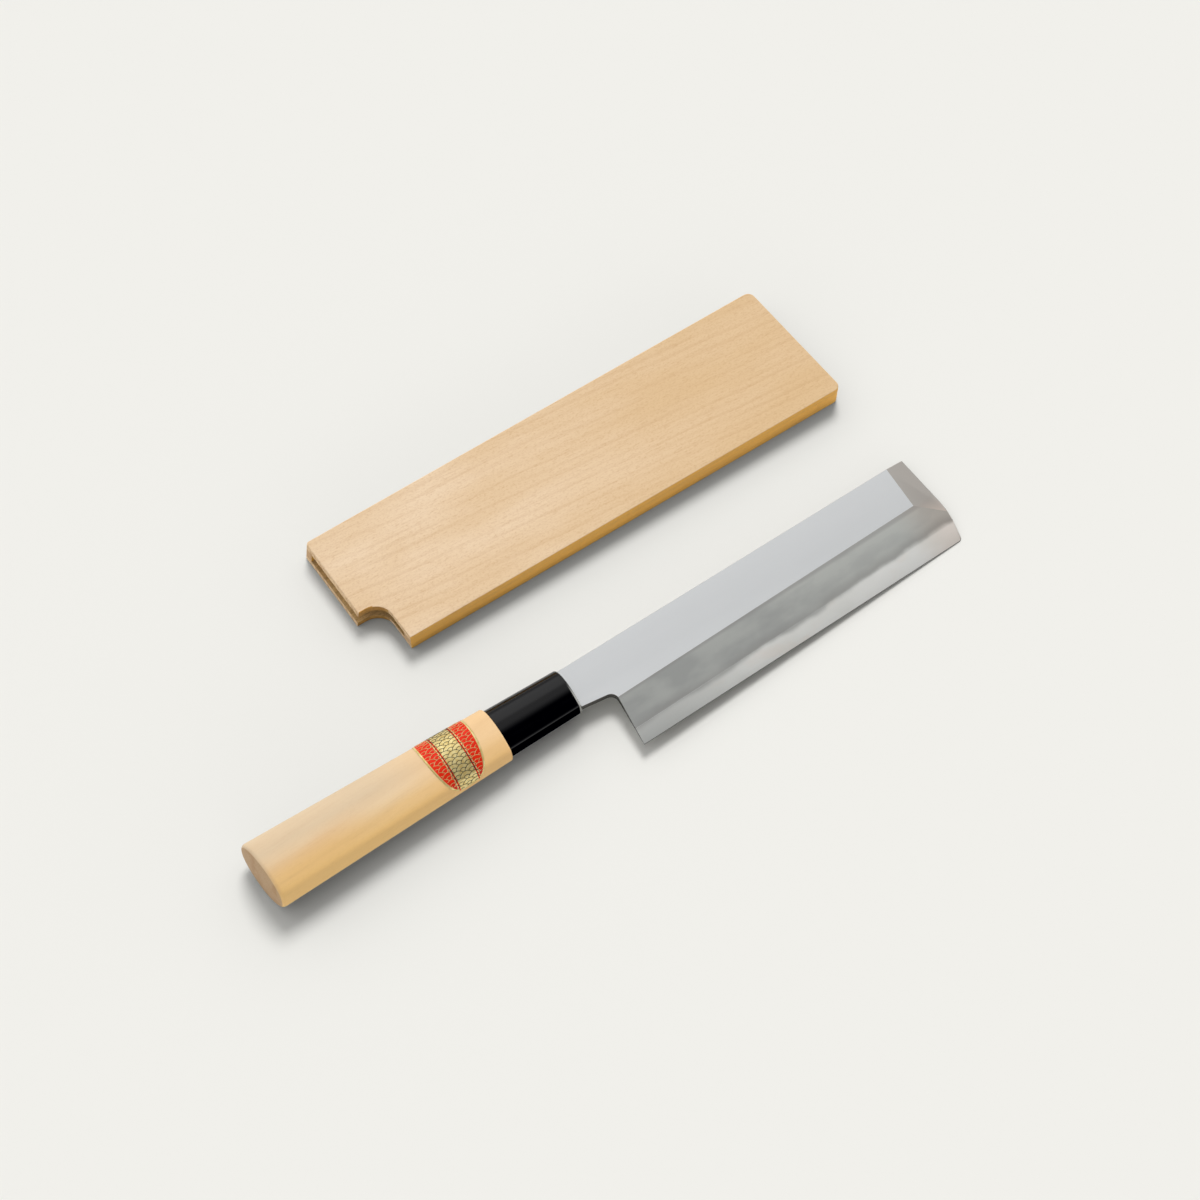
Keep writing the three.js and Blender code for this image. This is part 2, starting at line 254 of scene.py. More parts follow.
class Recipe(Graph):
    """A node tree with named inputs and outputs."""

    def __init__(self, name: str, kind: str, inputs: dict[str, Socket], outputs: dict[str, Socket]) -> None:
        """Makes the tree and its sockets.

        Args:
            name: The tree's name.
            kind: Blender's name for the type of tree.
            inputs: The inputs' names and kinds.
            outputs: The outputs' names and kinds.
        """
        super().__init__(bpy.data.node_groups.new(name, kind))
        for way, sockets in (("INPUT", inputs), ("OUTPUT", outputs)):
            for label, socket in sockets.items():
                self.tree.interface.new_socket(name=label, in_out=way, socket_type=socket.value)
        self.source = self.node("NodeGroupInput")
        self.sink = self.node("NodeGroupOutput")

    def given(self, name: str) -> Term:
        """Gives one of the tree's inputs."""
        return Term(self, self.source.outputs[name])

    def give(self, name: str, value: Value) -> None:
        """Sets one of the tree's outputs."""
        self.feed(self.sink.inputs[name], value)


@dataclass(frozen=True)
class Lie:
    """How a sub-assembly lies in the model: its own frame, in millimetres."""

    origin: Vector
    pitch: float = 0.0
    yaw: float = 0.0

    @staticmethod
    def of_knife() -> "Lie":
        """Reads how the knife lies from the mount on the blade's back.

        Returns:
            The frame with X from the ferrule to the tip, Y to the spine and Z out of the bevelled face.
        """
        mount = next(mount for mount in frame["record"]["mounts"] if mount["name"] == "blade_back")
        out = -Vector(mount["axis"])
        flat = Lie(Vector(), math.atan2(out.xy.length, out.z), math.atan2(out.y, out.x))
        return Lie(Vector(mount["pos_m"]) - flat.matrix() @ BACK_MOUNT, flat.pitch, flat.yaw)

    @staticmethod
    def of_sheath() -> "Lie":
        """Gives the frame with X from the mouth's corner and Y = 0 along the side of the spine."""
        low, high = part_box("sheath_top_board")
        return Lie(Vector((low.x, high.y, 0)))

    def matrix(self) -> Matrix:
        """Gives the way from this frame, in millimetres, to the model's, in metres."""
        turn = Matrix.Rotation(self.yaw, 4, "Z") @ Matrix.Rotation(self.pitch, 4, "Y")
        return Matrix.Translation(self.origin) @ turn @ Matrix.Scale(MM, 4)

    def place(self, graph: Graph) -> Term:
        """Gives the point of the surface in this frame.

        Args:
            graph: A material's tree.

        Returns:
            The point, in millimetres.
        """
        inputs = {
            "Vector": graph.term("ShaderNodeTexCoord", out="Object"),
            "Location": self.origin,
            "Rotation": (0.0, self.pitch, self.yaw),
            "Scale": (MM, MM, MM),
        }
        return graph.term("ShaderNodeMapping", inputs, vector_type="TEXTURE")


KNIFE = Lie.of_knife()
SHEATH = Lie.of_sheath()


def wood_figure() -> bpy.types.NodeTree:
    """Makes the shader group for sawn wood, shared by the handle and the sheath.

    Returns:
        The group. Its place is in millimetres with X along the grain.
    """
    inputs = {"Place": Socket.VECTOR, "Ring Size": Socket.NUMBER, "Ring Wander": Socket.NUMBER}
    outputs = {name: Socket.NUMBER for name in ("Rings", "Fibres", "Pores", "Specks", "Cloud", "End")}
    recipe = Recipe("wood_figure", "ShaderNodeTree", inputs, outputs)
    place = recipe.given("Place")
    wander = recipe.noise(recipe.stretched(place, (0.012, 0.05, 0.05)), detail=2.0) - 0.5
    _, across, depth = recipe.axes(place)
    radius = recipe.math("SQRT", across * across + depth * depth)
    turns = radius / recipe.given("Ring Size") + wander * recipe.given("Ring Wander")
    part = recipe.math("FRACT", turns)
    patches = recipe.noise(recipe.stretched(place, (0.02, 0.3, 0.3), (1.0, 8.0, 3.0)), detail=2.0)
    lines = recipe.ramp(part, 0.25, 0.86) * recipe.ramp(part, 0.88, 1.0, 1.0, 0.0)
    recipe.give("Rings", lines * recipe.ramp(patches, 0.35, 0.65))
    recipe.give("Fibres", recipe.noise(recipe.stretched(place, (0.07, 1.5, 1.5)), detail=4.0, roughness=0.65))
    dashes = recipe.noise(recipe.stretched(place, (0.32, 1.9, 1.9), (7.0, 3.0, 1.0)), detail=2.0)
    recipe.give("Pores", recipe.ramp(dashes, 0.54, 0.72))
    specks = recipe.noise(recipe.stretched(place, (1.1, 1.6, 1.6)), detail=3.0, roughness=0.8)
    recipe.give("Specks", recipe.ramp(specks, 0.46, 0.72))
    cloud = recipe.stretched(place, (0.018, 0.06, 0.06), (2.0, 5.0, 9.0))
    recipe.give("Cloud", recipe.noise(cloud, detail=3.0))
    facing = recipe.axes(recipe.term("ShaderNodeTexCoord", out="Normal"))[0]
    recipe.give("End", recipe.ramp(recipe.math("ABSOLUTE", facing), 0.75, 0.95))
    return recipe.tree


def ground_metal() -> bpy.types.NodeTree:
    """Makes the shader group for ground metal, shared by the blade's faces.

    Returns:
        The group. Its place is in millimetres with X along the lines of the grinding.
    """
    inputs = {"Place": Socket.VECTOR, "Line Width": Socket.NUMBER}
    outputs = {name: Socket.NUMBER for name in ("Lines", "Cloud", "Specks")}
    recipe = Recipe("ground_metal", "ShaderNodeTree", inputs, outputs)
    place = recipe.given("Place")
    along, across, depth = recipe.axes(place)
    width = recipe.given("Line Width")
    lines = recipe.vector(along * 0.05, across / width, depth / width)
    recipe.give("Lines", recipe.noise(lines, detail=3.0, roughness=0.6))
    cloud = recipe.stretched(place, (0.05, 0.11, 0.11), (4.0, 1.0, 6.0))
    recipe.give("Cloud", recipe.noise(cloud, detail=3.0))
    specks = recipe.noise(recipe.stretched(place, (1.6, 1.6, 1.6)), detail=2.0)
    recipe.give("Specks", recipe.ramp(specks, 0.66, 0.78))
    return recipe.tree


WOOD_FIGURE = wood_figure()
GROUND_METAL = ground_metal()
DULL = tone(92, 91, 90)


@dataclass(frozen=True)
class Finish:
    """A surface finish that becomes a material with a Principled shader."""

    name: str

    def material(self) -> bpy.types.Material:
        """Makes the finish's material, or gives the one that is there.

        Returns:
            The material.
        """
        if self.name in bpy.data.materials:
            return bpy.data.materials[self.name]
        material = bpy.data.materials.new(self.name)
        material.use_nodes = True
        graph = Graph(material.node_tree)
        shader = graph.node("ShaderNodeBsdfPrincipled")
        graph.node("ShaderNodeOutputMaterial", {"Surface": Term(graph, shader.outputs[0])})
        self.dress(graph, shader)
        return material

    def dress(self, graph: Graph, shader: bpy.types.Node) -> None:
        """Sets the shader's sockets, in the kinds of finish below."""
        raise NotImplementedError

    @staticmethod
    def paint(graph: Graph, shader: bpy.types.Node, colour: Term, bounce: Colour = DULL) -> None:
        """Sets the colour that is seen, and that of the light that is thrown on the surroundings."""
        thrown = graph.term("ShaderNodeLightPath", out="Is Diffuse Ray")
        graph.feed(shader.inputs["Base Color"], graph.blend(thrown, colour, bounce))

    @staticmethod
    def bump(graph: Graph, height: Term, depth: float, strength: float) -> Term:
        """Gives the normal of a surface with relief of some depth, where the height is between 0 and 1."""
        inputs = {"Strength": strength, "Distance": depth * MM, "Height": height}
        return graph.term("ShaderNodeBump", inputs)


class Guide(Enum):
    """What a tint follows: how far a face looks to the spine's side, or the place along the piece. A tint
    that follows the facing is painted light and shade on one side.
    """

    FACING = 0
    LENGTH = 1


@dataclass(frozen=True)
class Tint:
    """A colour laid over the wood's own, from where it starts to where it is full; one that follows the
    facing is painted light and shade.
    """

    guide: Guide
    colour: Colour
    start: float
    full: float
    share: float = 1.0


@dataclass(frozen=True)
class WoodFinish(Finish):
    """Planed bare wood, with X of its frame along the grain."""

    lie: Lie
    pale: Colour
    warm: Colour
    ring: Colour
    end: Colour
    pith: tuple[float, float, float]
    grain_turn: float = 0.0
    ring_size: float = 3.0
    ring_wander: float = 2.0
    ring_share: float = 0.5
    fibre_share: float = 0.5
    pore_share: float = 0.4
    speck_share: float = 0.2
    end_share: float = 0.5
    relief: float = 0.2
    relief_depth: float = 0.12
    roughness: tuple[float, float] = (0.52, 0.68)
    gloss: float = 0.3
    bounce: Colour = DULL
    tints: tuple[Tint, ...] = ()

    def dress(self, graph: Graph, shader: bpy.types.Node) -> None:
        """Draws growth rings, fibres, pores and the darker end grain.

        Args:
            graph: The material's tree.
            shader: Its Principled shader.
        """
        own_place = self.lie.place(graph)
        turned = {
            "Vector": own_place,
            "Location": self.pith,
            "Rotation": (0.0, 0.0, math.radians(self.grain_turn)),
        }
        place = graph.term("ShaderNodeMapping", turned, vector_type="TEXTURE")
        figure = {"Place": place, "Ring Size": self.ring_size, "Ring Wander": self.ring_wander}
        wood = graph.group(WOOD_FIGURE, figure)
        colour = graph.blend(graph.ramp(wood["Cloud"], 0.3, 0.7), self.pale, self.warm)
        guides = {
            Guide.FACING: graph.axes(graph.term("ShaderNodeTexCoord", out="Normal"))[1],
            Guide.LENGTH: graph.axes(own_place)[0],
        }
        # Tints that follow the facing are painted light and shade on one side of the piece.
        for tint in self.tints:
            share = graph.ramp(guides[tint.guide], tint.start, tint.full, 0.0, tint.share)
            colour = graph.blend(share, colour, tint.colour)
        colour = graph.blend(wood["End"], colour, self.end)
        marked = wood["End"] * self.end_share
        ringed = wood["Rings"] * graph.math("MAXIMUM", marked, self.ring_share)
        colour = graph.blend(ringed, colour, self.ring)
        colour = graph.blend(graph.ramp(wood["Fibres"], 0.5, 0.8) * self.fibre_share, colour, self.ring)
        colour = graph.blend(wood["Pores"] * self.pore_share, colour, self.ring)
        dotted = wood["Specks"] * graph.math("MAXIMUM", marked, self.speck_share)
        colour = graph.blend(dotted, colour, self.ring)
        self.paint(graph, shader, colour, self.bounce)
        height = wood["Fibres"] * 0.6 - wood["Pores"] * 0.5 - wood["Rings"] * 0.2
        graph.fill(shader, {
            "Roughness": graph.ramp(wood["Fibres"], 0.2, 0.8, *self.roughness),
            "Specular IOR Level": self.gloss,
            "Normal": self.bump(graph, height, self.relief_depth, self.relief),
        })


@dataclass(frozen=True)
class MetalFinish(Finish):
    """Ground metal of one kind."""

    colour: Colour
    shade: Colour
    roughness: float
    line_width: float = 0.25
    line_share: float = 0.3
    line_depth: float = 0.02
    line_spread: float = 0.1
    cloud_share: float = 0.5
    speck_spread: float = 0.06
    relief: float = 0.05

    def dress(self, graph: Graph, shader: bpy.types.Node) -> None:
        """Draws the grinding lines and a soft cloud.

        Args:
            graph: The material's tree.
            shader: Its Principled shader.
        """
        metal = graph.group(GROUND_METAL, {"Place": KNIFE.place(graph), "Line Width": self.line_width})
        share = metal["Cloud"] * self.cloud_share + (metal["Lines"] - 0.5) * self.line_share
        spread = (metal["Lines"] - 0.5) * self.line_spread + metal["Specks"] * self.speck_spread
        graph.fill(shader, {
            "Base Color": graph.blend(graph.clamp(share), self.colour, self.shade),
            "Metallic": 1.0,
            "Roughness": spread + self.roughness,
            "Normal": self.bump(graph, metal["Lines"], self.line_depth, self.relief),
        })


@dataclass(frozen=True)
class BevelFinish(Finish):
    """The ground bevel, where hazy iron meets the brighter steel along the edge in a wavy line."""

    iron: Colour
    iron_shade: Colour
    steel: Colour
    steel_shade: Colour
    heel: tuple[float, float]
    edge_rise: float
    steel_width: float
    fringe: Colour
    stain: Colour
    steel_rise: float = 0.8
    ridge_width: float = 18.5
    wave: float = 2.8
    blur: float = 2.4
    fringe_width: float = 4.5
    fringe_share: float = 0.62
    stain_share: float = 0.35
    ridge_line: float = 1.4
    ridge_share: float = 0.6
    speck_share: float = 0.12
    line_width: float = 0.35
    line_depth: float = 0.02
    line_spread: float = 0.08
    iron_spread: float = 0.1
    roughness: float = 0.33
    relief: float = 0.06
    heel_fade: float = 60.0
    heel_share: float = 0.8
    tip_fade: tuple[float, float] = (40.0, 125.0)
    tip_tint: Colour = tone(255, 238, 228)
    tip_reach: tuple[float, float] = (128.0, 146.0)
    tip_share: float = 0.55
    tip_dim: float = 0.15

    def dress(self, graph: Graph, shader: bpy.types.Node) -> None:
        """Draws the haze, the wavy boundary and the steel.

        Args:
            graph: The material's tree.
            shader: Its Principled shader.
        """
        place = KNIFE.place(graph)
        metal = graph.group(GROUND_METAL, {"Place": place, "Line Width": self.line_width})
        along, across, _ = graph.axes(place)
        rise = (along - self.heel[0]) * math.tan(math.radians(self.edge_rise)) + self.heel[1]
        waves = graph.noise(graph.stretched(place, (0.05, 0.03, 0.0), (0.0, 3.0, 0.0)), detail=5.0)
        height = across - rise
        widening = (along - self.heel[0]) * math.tan(math.radians(self.steel_rise))
        above = height - self.steel_width - widening - (waves - 0.5) * (2 * self.wave)
        iron_share = graph.ramp(above, -self.blur / 2, self.blur / 2)
        fringe = iron_share * graph.ramp(above, 0.0, self.fringe_width, 1.0, 0.0)
        dull = graph.ramp(metal["Cloud"], 0.32, 0.68) + graph.ramp(along, *self.tip_fade, 0.3, -0.6)
        iron = graph.blend(graph.clamp(dull), self.iron, self.iron_shade)
        ridge = graph.ramp(height, self.ridge_width - self.ridge_line, self.ridge_width)
        dimmed = graph.math("MAXIMUM", fringe * self.fringe_share, ridge * self.ridge_share)
        iron = graph.blend(dimmed, iron, self.fringe)
        tip = graph.ramp(along, *self.tip_reach)
        # Painted shade: the bevel darkens towards the tip, which sets it apart from the end bevel.
        iron = graph.blend(tip * self.tip_dim, iron, self.fringe)
        steel = graph.blend(graph.ramp(metal["Cloud"], 0.38, 0.62), self.steel, self.steel_shade)
        stains = graph.noise(graph.stretched(place, (0.06, 0.14, 0.14), (9.0, 2.0, 4.0)), detail=3.0)
        steel = graph.blend(graph.ramp(stains, 0.5, 0.7) * self.stain_share, steel, self.stain)
        start = graph.ramp(along, self.heel[0], self.heel[0] + self.heel_fade, self.heel_share, 0.0)
        steel = graph.blend(start, steel, self.iron_shade)
        colour = graph.blend(iron_share, steel, iron)
        colour = graph.blend(tip * self.tip_share, colour, self.tip_tint, mode="MULTIPLY")
        spread = iron_share * self.iron_spread + (metal["Lines"] - 0.5) * self.line_spread
        graph.fill(shader, {
            "Base Color": graph.blend(metal["Specks"] * self.speck_share, colour, self.fringe),
            "Metallic": 1.0,
            "Roughness": spread + self.roughness,
            "Normal": self.bump(graph, metal["Lines"], self.line_depth, self.relief),
        })


@dataclass(frozen=True)
class HornFinish(Finish):
    """Polished black horn with faint streaks along it, painted sheen by facing and a painted highlight on the
    front rim.
    """

    dark: Colour
    streak: Colour
    # Painted highlight: the colour of the lighter band on the front rim.
    bare: Colour
    rim: float
    polish: float
    sheen: float
    upper: tuple[float, float]
    ridge: tuple[float, float, float, float]
    rim_blur: float = 0.3
    rim_highlight_share: float = 0.8
    roughness: tuple[float, float] = (0.5, 0.6)
    relief: float = 0.05
    relief_depth: float = 0.05

    def dress(self, graph: Graph, shader: bpy.types.Node) -> None:
        """Draws streaks, a painted highlight on the front rim and a coat that follows the facing: painted
        sheen on the spine's side and a painted highlight along the ridge.

        Args:
            graph: The material's tree.
            shader: Its Principled shader.
        """
        place = KNIFE.place(graph)
        streaks = graph.noise(graph.stretched(place, (0.06, 0.7, 0.7)), detail=4.0, roughness=0.6)
        colour = graph.blend(graph.ramp(streaks, 0.5, 0.75), self.dark, self.streak)
        spineward = graph.axes(graph.term("ShaderNodeTexCoord", out="Normal"))[1]
        # Painted highlight: a lighter band on the front rim, on the side away from the spine.
        lower = graph.ramp(spineward, 0.1, -0.4)
        painted_rim_highlight = graph.ramp(graph.axes(place)[0], -self.rim, -self.rim + self.rim_blur) * lower
        # Painted sheen and highlight: the coat is full on faces turned to the spine, a thin band along the
        # ridge, and absent elsewhere.
        upper = graph.ramp(spineward, *self.upper)
        ridge = graph.ramp(spineward, *self.ridge[:2]) * graph.ramp(spineward, *self.ridge[2:])
        painted_sheen = graph.clamp(upper + ridge) * self.sheen
        uneven = graph.noise(graph.stretched(place, (0.4, 0.4, 0.4)), detail=3.0)
        graph.fill(shader, {
            "Base Color": graph.blend(painted_rim_highlight * self.rim_highlight_share, colour, self.bare),
            "Coat Weight": painted_sheen,
            "Coat Roughness": self.polish,
            "Roughness": graph.ramp(uneven, 0.3, 0.7, *self.roughness),
            "Specular IOR Level": 0.0,
            "Normal": self.bump(graph, streaks, self.relief_depth, self.relief),
        })


@dataclass(frozen=True)
class PrintFinish(Finish):
    """The printed lines: gold on the red field, black on the gold band."""

    colour: Colour
    shade: Colour
    ink: Colour
    middle: float
    band: float
    blur: float = 0.05
    metal: float = 0.85
    roughness: tuple[float, float] = (0.28, 0.4)

    def dress(self, graph: Graph, shader: bpy.types.Node) -> None:
        """Draws a slightly uneven gold and the black ink.

        Args:
            graph: The material's tree.
            shader: Its Principled shader.
        """
        place = KNIFE.place(graph)
        uneven = graph.noise(graph.stretched(place, (0.9, 0.9, 0.9)), detail=3.0)
        gold = graph.blend(graph.ramp(uneven, 0.35, 0.65), self.colour, self.shade)
        away = graph.math("ABSOLUTE", graph.axes(place)[0] - self.middle)
        inked = graph.ramp(away, self.band - self.blur, self.band + self.blur, 1.0, 0.0)
        graph.fill(shader, {
            "Base Color": graph.blend(inked, gold, self.ink),
            "Metallic": (1 - inked) * self.metal,
            "Roughness": graph.ramp(uneven, 0.3, 0.7, *self.roughness),
        })


@dataclass(frozen=True)
class FoilFinish(Finish):
    """The label's red field with a gold rim and a gold band across it."""

    red: Colour
    red_shade: Colour
    gold: Colour
    gold_shade: Colour
    length: float
    rim: float
    band: float
    line: float
    rim_blur: float = 0.1
    band_blur: float = 0.05
    line_blur: float = 0.12
    metal: float = 0.6
    roughness: tuple[float, float] = (0.3, 0.42)
    gloss: float = 0.25
    relief: float = 0.3
    relief_depth: float = 0.06

    def dress(self, graph: Graph, shader: bpy.types.Node) -> None:
        """Draws the field, the rim, the band and the lines beside it over the label's own UV map.

        Args:
            graph: The material's tree.
            shader: Its Principled shader.
        """
        across = graph.axes(graph.term("ShaderNodeUVMap", uv_map=LABEL_UV))[0]
        away = graph.math("ABSOLUTE", (across - 0.5) * self.length)
        inset = graph.term("ShaderNodeAttribute", out="Fac", attribute_name=LABEL_INSET)
        rim = graph.ramp(inset, self.rim - self.rim_blur, self.rim + self.rim_blur, 1.0, 0.0)
        band = graph.ramp(away, self.band - self.band_blur, self.band + self.band_blur, 1.0, 0.0)
        gold_share = graph.math("MAXIMUM", rim, band)
        beside = graph.math("ABSOLUTE", away - (self.band - 3 * self.line))
        groove = graph.ramp(beside, self.line, self.line + self.line_blur, 1.0, 0.0)
        uneven = graph.noise(graph.stretched(KNIFE.place(graph), (0.8, 0.8, 0.8)), detail=3.0)
        cloud = graph.ramp(uneven, 0.35, 0.65)
        gold = graph.blend(cloud, self.gold, self.gold_shade)
        red = graph.blend(cloud, self.red, self.red_shade)
        self.paint(graph, shader, graph.blend(groove, graph.blend(gold_share, red, gold), self.red_shade))
        graph.fill(shader, {
            "Metallic": gold_share * self.metal,
            "Roughness": graph.ramp(uneven, 0.3, 0.7, *self.roughness),
            "Specular IOR Level": self.gloss,
            "Normal": self.bump(graph, gold_share - groove, self.relief_depth, self.relief),
        })


@dataclass(frozen=True)
class FloorFinish(Finish):
    """Matt pale paper."""

    colour: Colour
    roughness: float = 0.9

    def dress(self, graph: Graph, shader: bpy.types.Node) -> None:
        """Sets the paper's even colour and its matt surface."""
        matt = {"Base Color": self.colour, "Roughness": self.roughness, "Specular IOR Level": 0.0}
        graph.fill(shader, matt)


def new_piece(name: str, body: bmesh.types.BMesh, lie: Lie, finishes: Sequence[Finish]) -> bpy.types.Object:
    """Makes an object of a mesh that was built in a sub-assembly's own frame.

    Args:
        name: The object's name.
        body: The mesh, in millimetres. It is freed.
        lie: The frame that it was built in.
        finishes: Its finishes, in the order of the faces' material numbers.

    Returns:
        The object, at the origin.
    """
    body.transform(lie.matrix())
    mesh = bpy.data.meshes.new(name)
    body.to_mesh(mesh)
    body.free()
    for finish in finishes:
        mesh.materials.append(finish.material())
    piece = bpy.data.objects.new(name, mesh)
    bpy.context.scene.collection.objects.link(piece)
    return piece


def settled(piece: bpy.types.Object) -> bpy.types.Object:
    """Turns a piece's modifiers into a plain mesh.

    Args:
        piece: The piece, with modifiers.

    Returns:
        The same piece, without them.
    """
    depsgraph = bpy.context.evaluated_depsgraph_get()
    mesh = bpy.data.meshes.new_from_object(
        piece.evaluated_get(depsgraph), preserve_all_data_layers=True, depsgraph=depsgraph)
    piece.modifiers.clear()
    old, piece.data = piece.data, mesh
    mesh.name = piece.name
    bpy.data.meshes.remove(old)
    return piece


def grown(name: str, tree: bpy.types.NodeTree, values: dict[str, Value]) -> bpy.types.Object:
    """Makes a piece from a Geometry Nodes tree.

    Args:
        name: The piece's name.
        tree: The tree.
        values: Its inputs by name.

    Returns:
        The piece, as a plain mesh.
    """
    piece = bpy.data.objects.new(name, bpy.data.meshes.new(name))
    bpy.context.scene.collection.objects.link(piece)
    modifier = piece.modifiers.new(tree.name, "NODES")
    modifier.node_group = tree
    for item in tree.interface.items_tree:
        if item.in_out == "INPUT" and item.name in values:
            modifier[item.identifier] = values[item.name]
    return settled(piece)


def seated(piece: bpy.types.Object, body: Body, slot: Slot, *nodes: str) -> bpy.types.Object:
    """Lets a piece ride on its body and stand for its CAD nodes.

    Args:
        piece: The piece.
        body: The body that it moves with.
        slot: The record's material slot; not used.
        nodes: The CAD nodes that it replaces.

    Returns:
        The piece.
    """
    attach(piece, body.value)
    if nodes:
        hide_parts(*nodes)
    LOG.info("%s: %d faces", piece.name, len(piece.data.polygons))
    return piece


def solid_copy(node: str, lie: Lie) -> bmesh.types.BMesh:
    """Copies a CAD node into a sub-assembly's own frame, with its flat faces whole.

    Args:
        node: The node's name.
        lie: The frame.

    Returns:
        The merged copy, in millimetres.
    """
    body = bmesh.new()
    body.from_mesh(frame["nodes"][node].data)
    body.transform(lie.matrix().inverted())
    bmesh.ops.remove_doubles(body, verts=body.verts, dist=MERGE)
    bmesh.ops.dissolve_limit(body, angle_limit=FLATNESS, verts=body.verts, edges=body.edges)
    return body


def break_edges(body: bmesh.types.BMesh, width: float, picks: Callable[[bmesh.types.BMEdge], bool]) -> None:
    """Rounds some edges of a solid.

    Args:
        body: The solid.
        width: How far the rounding reaches from each edge.
        picks: Says which edges are rounded.
    """
    edges = [edge for edge in body.edges if edge.is_manifold and picks(edge)]
    bmesh.ops.bevel(body, geom=edges, offset=width, offset_type="OFFSET", segments=2, profile=0.5,
                    affect="EDGES", clamp_overlap=False)


def smooth_shaded(piece: bpy.types.Object, crease: float) -> bpy.types.Object:
    """Shades a piece smooth, with its flat faces kept flat and its creases sharp.

    Args:
        piece: The piece.
        crease: The angle past which an edge is a crease.

    Returns:
        The piece.
    """
    body = bmesh.new()
    body.from_mesh(piece.data)
    for face in body.faces:
        face.smooth = True
    for edge in body.edges:
        edge.smooth = edge.is_manifold and edge.calc_face_angle(math.pi) < math.radians(crease)
    body.to_mesh(piece.data)
    body.free()
    weighted = piece.modifiers.new("flat_faces", "WEIGHTED_NORMAL")
    weighted.weight = 100
    weighted.keep_sharp = True
    return settled(piece)


class BladeFace(Enum):
    """The kinds of face on the blade, in the order of their materials."""

    FLAT = 0
    BEVEL = 1
    END = 2
    SIDE = 3
    BACK = 4


@dataclass
class Blade:
    """The laminated blade: soft iron over a hard steel back."""

    steel_thickness: float = 1.2
    weld_seam: float = 0.05
    edge_break: float = 0.1
    hard_corner: float = 40.0
    level: float = 0.9995
    tilted: float = 0.9
    flat: Finish = MetalFinish(
        "iron_flat", tone(247, 249, 250), tone(239, 241, 242), roughness=0.42, line_share=0.2)
    bevel: Finish = BevelFinish(
        "hazy_bevel", iron=tone(220, 222, 217), iron_shade=tone(199, 201, 198),
        steel=tone(255, 255, 251), steel_shade=tone(248, 248, 243), fringe=tone(182, 180, 177),
        stain=tone(246, 234, 222), heel=(11.0, -29.8), edge_rise=1.3, steel_width=5.2)
    # Painted shade: the end bevel is a darker, warmer copy of the bevel's metal.
    end: Finish = BevelFinish(
        "hazy_end", iron=tone(207, 205, 200), iron_shade=tone(197, 194, 188),
        steel=tone(248, 240, 232), steel_shade=tone(240, 230, 220), fringe=tone(204, 198, 191),
        stain=tone(246, 232, 220), heel=(11.0, -29.8), edge_rise=1.3, steel_width=13.0,
        ridge_width=60.0, blur=10.0, tip_share=0.3, tip_dim=0.0)
    # Painted shade: every side wall, the spine's too, gets a dark metal colour for the shaded choil and neck.
    side: Finish = MetalFinish(
        "iron_side", tone(100, 98, 95), tone(72, 70, 68), roughness=0.48, line_width=0.5, relief=0.15)
    back: Finish = MetalFinish(
        "steel_back", tone(226, 227, 226), tone(206, 207, 206), roughness=0.3, line_width=0.4, relief=0.1)

    def build(self) -> None:
        """Builds both layers."""
        finishes = [self.flat, self.bevel, self.end, self.side, self.back]
        hard = math.radians(self.hard_corner)
        for node, slot in (("blade_iron", Slot.IRON), ("blade_steel", Slot.STEEL)):
            body = solid_copy(node, KNIFE)
            if slot is Slot.IRON:
                self.close_seam(body)
            break_edges(body, self.edge_break, lambda edge: edge.calc_face_angle() > hard)
            for face in body.faces:
                face.material_index = self.kind(face).value
            piece = new_piece(f"dressed_{node}", body, KNIFE, finishes)
            seated(smooth_shaded(piece, self.hard_corner), Body.KNIFE, slot, node)

    def close_seam(self, body: bmesh.types.BMesh) -> None:
        """Lets the iron down onto the steel, along its own sloping faces.

        Args:
            body: The iron, in the knife's frame.
        """
        underside = self.steel_thickness + self.weld_seam
        for vertex in body.verts:
            if abs(vertex.co.z - underside) > MERGE:
                continue
            tops = [edge.other_vert(vertex).co for edge in vertex.link_edges]
            top = max(tops, key=lambda place: place.z)
            if top.z - underside > MERGE:
                vertex.co += (vertex.co - top) * (self.weld_seam / (top.z - underside))

    def kind(self, face: bmesh.types.BMFace) -> BladeFace:
        """Tells what kind of face this is by the way it looks.

        Args:
            face: A face, in the knife's frame.

        Returns:
            Its kind.
        """
        out = face.normal
        if out.z < -self.tilted:
            return BladeFace.BACK
        if out.z > self.level:
            return BladeFace.FLAT
        if out.z > self.tilted:
            return BladeFace.END if out.x > -out.y else BladeFace.BEVEL
        return BladeFace.SIDE


